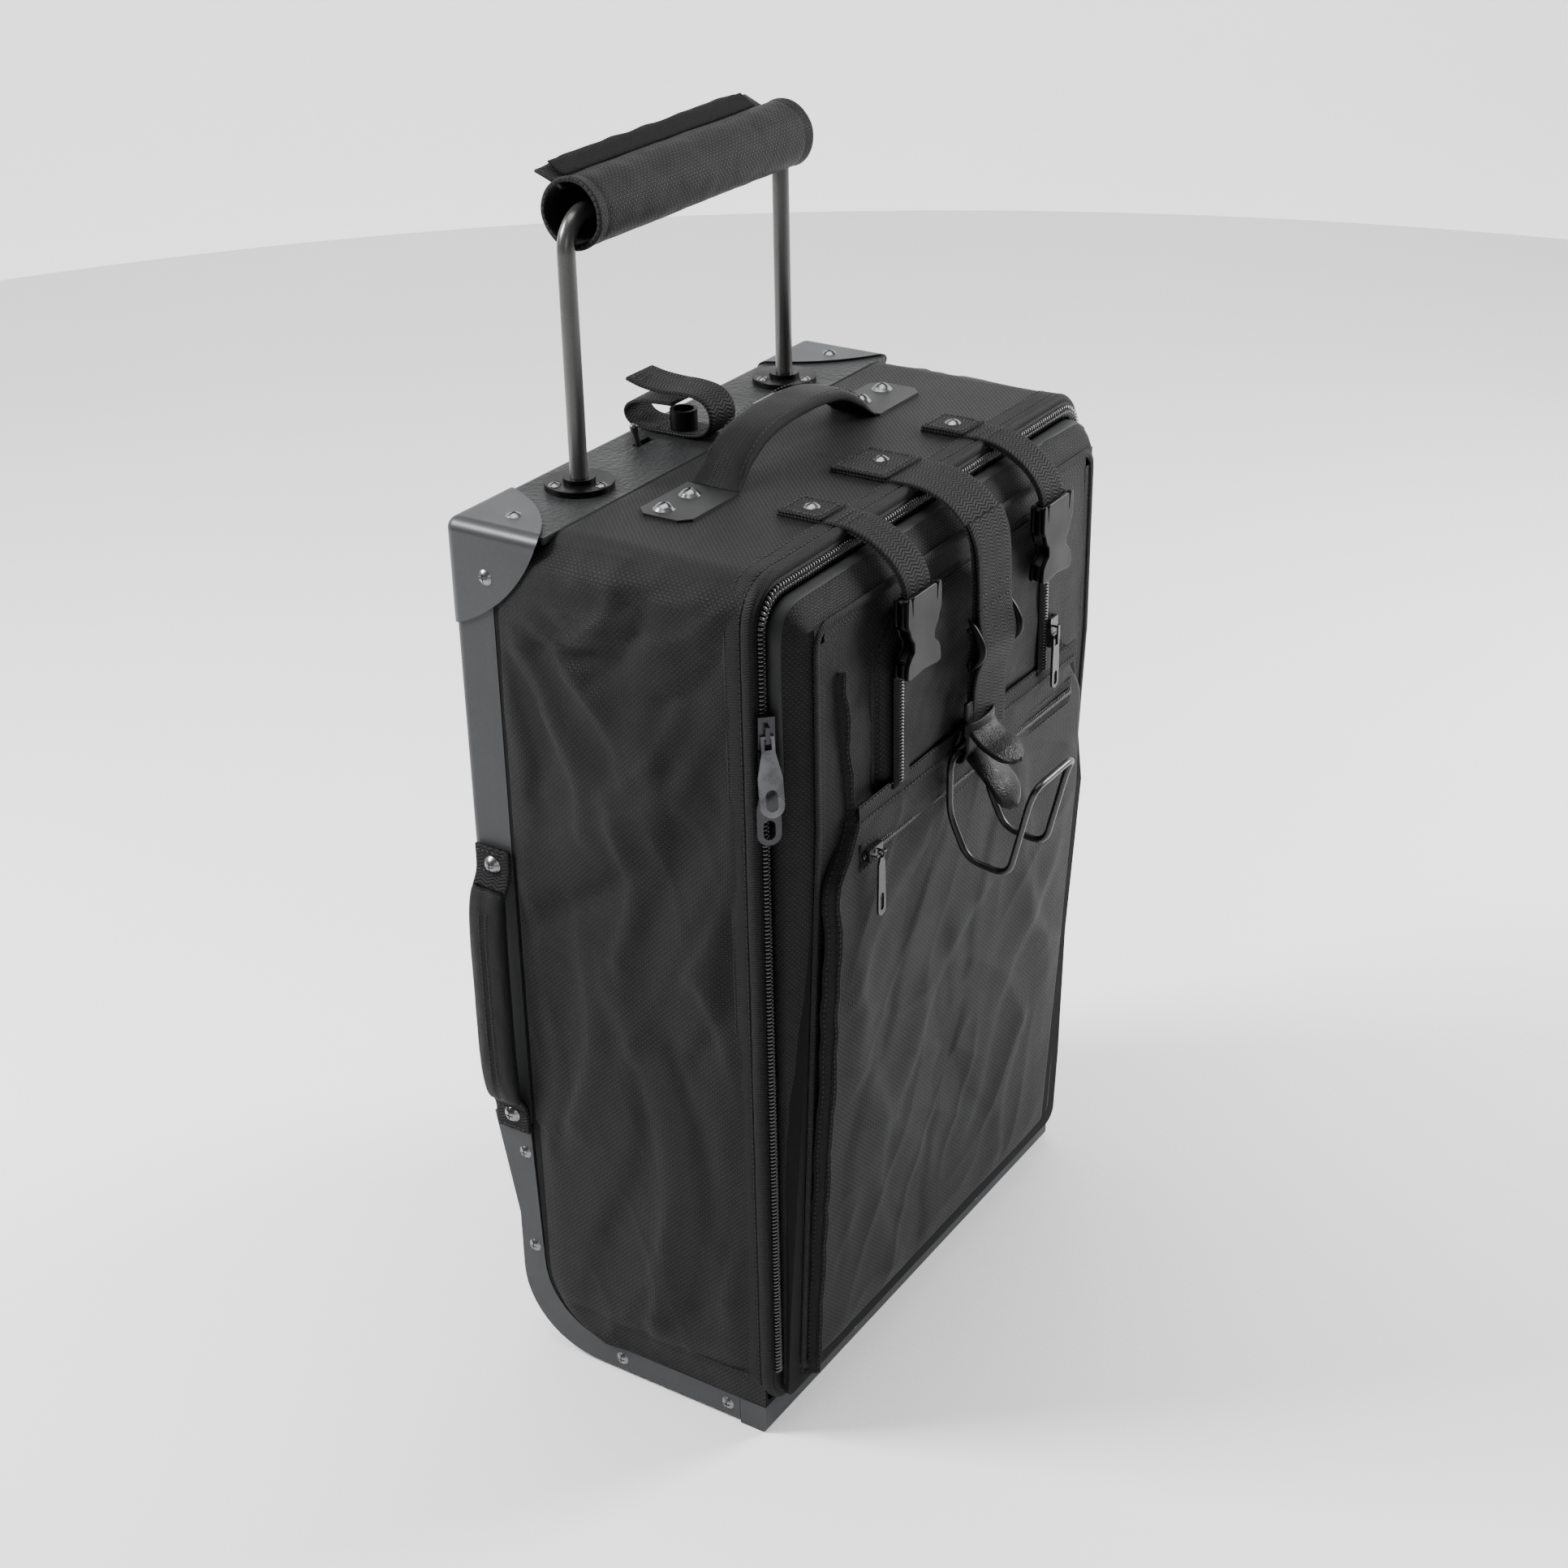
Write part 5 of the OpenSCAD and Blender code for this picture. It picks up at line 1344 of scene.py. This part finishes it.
def build_loop_strap():
    """Webbing loop on the top, wound once round its hollow stud, with a free end."""
    low, high = box_mm("loop_strap")
    x = (low[0] + high[0]) / 2
    wound = [(149, 559.0), (160, 558.6), (171, 557.6), (179, 554.6), (181.6, 549.4), (177.6, 543.8),
             (168, 541.8), (152, 541.5), (138, 541.6), (127.5, 544.2), (122.4, 551.0), (123.4, 559.5),
             (130.4, 565.4), (142, 567.0), (155, 566.6), (168, 567.4)]
    path = smooth_path([(x, y, z) for y, z in wound] + [(x + 0.6, 179.5, 569.6)], 120)
    turn = np.linspace(0, 1, 120)[:, None]
    across = np.array([[1.0, 0, 0]]) + np.array([[0, 0, 0.10]]) * np.sin(turn * 9) * turn
    piece = swept("loop_strap_web", path, strap_section(25, 2.2), across, "webbing", ROOT)
    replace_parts(piece, "loop_strap")
    rows = [[(x + k, y, z) for k in np.linspace(-10.5, 10.5, 10)]
            for y, z in ((134.5, 543.3), (161.0, 543.0), (176.5, 570.1), (172.0, 569.2))]
    stitches("loop_strap_stitches", rows, ROOT, out=(0, 0, 1))


# ---------------------------------------------------------------- finishes on the CAD nodes

BEVELLED = ("left_side_rail", "right_side_rail", "top_channel", "front_foot", "left_base_plate",
            "right_base_plate", "left_corner_guard", "right_corner_guard", "buckles", "strap_glide",
            "handle_plates", "lever_bracket", "rod_flanges", "left_hub", "right_hub", "left_tyre",
            "right_tyre", "blank_plate")
CLOTH_NODES = {"body_shell": "lining", "lid_shell": "nylon", "lower_pocket": "nylon", "j_hook": "wire",
               "buckles": "plastic", "strap_glide": "plastic"}


def finish_cad_nodes():
    """Gives each CAD node its finish, and a fine bevel to the pressed and moulded ones."""
    chosen = dict(CLOTH_NODES)
    for finish, nodes in NODE_FINISH.items():
        for node in nodes:
            chosen[node] = finish
    for piece in list(bpy.context.scene.objects):
        node = piece.get("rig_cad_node")
        if not node or piece.type != "MESH":
            continue
        node = str(node) if str(node) in chosen else piece.name
        finish = chosen.get(node)
        if finish is None:
            continue
        if not piece.material_slots:
            piece.data.materials.append(finish_of(finish))
        for holder in piece.material_slots:
            holder.material = finish_of(finish)
        if node in BEVELLED:
            edge = piece.modifiers.new("edge", "BEVEL")
            edge.width = 0.35 * MM
            edge.segments = 2
            edge.limit_method = "ANGLE"
            edge.angle_limit = math.radians(35)
            edge.harden_normals = False


# ---------------------------------------------------------------- stage

BACKDROP_GLOW = 0.75
SKY_GLOW = 0.20
CAMERA_PLACE = (-1.1471, -0.6634, 1.0352)
CAMERA_YAW, CAMERA_PITCH, CAMERA_ROLL = np.radians((56.86, 27.32, -1.16))
CAMERA_LENS = 58.86
# Name, place, target, size in metres, and power in watts.
SOFTBOXES = (
    ("key_light", (-0.95, 1.35, 1.55), (-0.15, 0.05, 0.30), (0.6, 0.6), 92),
    ("left_light", (-2.3, -1.5, 1.1), (0, 0.0, 0.3), (1.2, 1.0), 9),
    ("right_light", (1.45, -0.95, 1.15), (0, -0.05, 0.3), (0.6, 0.7), 62),
    ("top_light", (0.1, 0.3, 2.7), (0, 0.1, 0.4), (2.2, 1.8), 62),
)


def build_backdrop():
    """White paper that stands in an arc behind the case and curves down to the floor."""
    near, curve, height = 2600, 500, 2600
    profile = [(near, 2)]
    profile += [(near + curve * math.sin(a), 2 + curve * (1 - math.cos(a)))
                for a in np.linspace(0.1, math.pi / 2, 12)]
    profile += [(near + curve, 1400), (near + curve, height)]
    turns = np.radians(np.linspace(-8, 122, 60))
    verts = [(r * math.sin(a), r * math.cos(a), z) for a in turns for r, z in profile]
    mesh = bpy.data.meshes.new("backdrop")
    mesh.from_pydata([tuple(c * MM for c in v) for v in verts], [], grid_faces(len(turns), len(profile)))
    s = Shader("backdrop_paper")
    tone = s.noise(s.coordinates("Object"), 2.0, 3)
    mesh.materials.append(s.finish(s.blend(tone, (0.82, 0.82, 0.82), (0.86, 0.86, 0.86)), 0.8,
                                   s.bump(s.noise(s.coordinates("Object"), 200, 2), 0.0004, 0.3),
                                   emission_color=(1, 1, 1, 1), emission_strength=BACKDROP_GLOW))
    piece = bpy.data.objects.new("backdrop", mesh)
    bpy.context.scene.collection.objects.link(piece)
    return piece


def build_stage():
    """Pale floor, backdrop, soft studio light and the camera."""
    mesh = bpy.data.meshes.new("floor")
    mesh.from_pydata([(-6, -6, 0), (6, -6, 0), (6, 6, 0), (-6, 6, 0)], [], [(0, 1, 2, 3)])
    floor = bpy.data.objects.new("floor", mesh)
    bpy.context.scene.collection.objects.link(floor)
    s = Shader("floor_paint")
    tone = s.noise(s.coordinates("Object"), 3.0, 3)
    mesh.materials.append(s.finish(s.blend(tone, (0.80, 0.80, 0.80), (0.84, 0.84, 0.84)), 0.75,
                                   s.bump(s.noise(s.coordinates("Object"), 300, 2), 0.0004, 0.3)))
    stage = [floor, build_backdrop()]

    for name, place, target, size, power in SOFTBOXES:
        light = bpy.data.lights.new(name, "AREA")
        light.shape = "RECTANGLE"
        light.size, light.size_y = size
        light.energy = power
        holder = bpy.data.objects.new(name, light)
        holder.location = place
        holder.rotation_euler = (Vector(target) - Vector(place)).to_track_quat("-Z", "Y").to_euler()
        bpy.context.scene.collection.objects.link(holder)
        stage.append(holder)
    world = bpy.data.worlds.new("studio")
    world.use_nodes = True
    background = world.node_tree.nodes["Background"]
    background.inputs["Color"].default_value = (0.93, 0.95, 1.0, 1)
    background.inputs["Strength"].default_value = SKY_GLOW
    bpy.context.scene.world = world
    build_camera()


def build_camera():
    """Camera that looks down on the left front corner."""
    ahead = Vector((math.sin(CAMERA_YAW) * math.cos(CAMERA_PITCH),
                    math.cos(CAMERA_YAW) * math.cos(CAMERA_PITCH), -math.sin(CAMERA_PITCH)))
    level = Vector((math.cos(CAMERA_YAW), -math.sin(CAMERA_YAW), 0))
    upright = level.cross(ahead)
    across = level * math.cos(CAMERA_ROLL) + upright * math.sin(CAMERA_ROLL)
    up = -level * math.sin(CAMERA_ROLL) + upright * math.cos(CAMERA_ROLL)
    lens = bpy.data.cameras.new("camera")
    lens.lens = CAMERA_LENS
    lens.sensor_width = 36
    lens.clip_start = 0.05
    camera = bpy.data.objects.new("camera", lens)
    pose = Matrix((across, up, -ahead)).transposed().to_4x4()
    pose.translation = Vector(CAMERA_PLACE)
    camera.matrix_world = pose
    bpy.context.scene.collection.objects.link(camera)
    bpy.context.scene.camera = camera


# ---------------------------------------------------------------- add-on classes

def step(identifier, label, doc, *builders):
    """One operator that runs builders in turn."""
    def execute(self, context):
        for builder in builders:
            builder()
        return {"FINISHED"}

    return type("FLIGHTCASE_OT_" + identifier, (bpy.types.Operator,), {
        "bl_idname": "flight_case." + identifier, "bl_label": label, "__doc__": doc, "execute": execute})


STEPS = (
    step("finishes", "Finishes", "Makes the procedural finishes", make_finishes),
    step("frame_parts", "Frame Parts", "Gives the CAD parts their finishes", finish_cad_nodes),
    step("body_cloth", "Body Cloth", "Stretches nylon over the body and binds its edge",
         build_body_cloth, build_body_seams),
    step("main_zip", "Main Zip", "Lays the tape and coil of the main zip", build_main_zip),
    step("lid_cloth", "Lid Cloth", "Covers the lid and binds its corners", build_lid_cloth),
    step("pockets", "Pockets", "Makes both pockets with their zips",
         build_lower_pocket, build_upper_pocket, build_small_zips),
    step("straps", "Straps", "Lays the three lid straps and their buckles", build_straps, build_buckles),
    step("hook_leather", "Hook Leather", "Makes the hook's wire and the leather round it",
         build_hook_wire, build_hook_leather),
    step("handles", "Handles", "Makes the grip and both carrying handles",
         build_grip, build_top_handle, build_side_handle),
    step("loop_strap", "Loop Strap", "Makes the webbing loop on the top", build_loop_strap),
    step("stage", "Stage", "Sets the floor, the lights and the camera", build_stage),
)


class FLIGHTCASE_PT_main(bpy.types.Panel):
    """Lists the steps that build the flight case"""
    bl_label = "Flight Case"
    bl_idname = "FLIGHTCASE_PT_main"
    bl_space_type = "VIEW_3D"
    bl_region_type = "UI"
    bl_category = "Flight Case"

    def draw(self, context):
        for group in (context.scene.flight_case_sizes, context.scene.flight_case_colours):
            for name in group.bl_rna.properties.keys():
                if name not in ("rna_type", "name"):
                    self.layout.prop(group, name)
        for operator in STEPS:
            self.layout.operator(operator.bl_idname)


CLASSES = (CaseSizes, CaseColours, *STEPS, FLIGHTCASE_PT_main)


def register():
    for cls in CLASSES:
        bpy.utils.register_class(cls)
    bpy.types.Scene.flight_case_sizes = PointerProperty(type=CaseSizes)
    bpy.types.Scene.flight_case_colours = PointerProperty(type=CaseColours)


def unregister():
    del bpy.types.Scene.flight_case_colours
    del bpy.types.Scene.flight_case_sizes
    for cls in reversed(CLASSES):
        bpy.utils.unregister_class(cls)


def main():
    """Runs every step in order and notes the sizes before and after."""
    register()
    for operator in STEPS:
        getattr(bpy.ops.flight_case, operator.bl_idname.split(".")[1])()


if __name__ == "__main__":
    main()
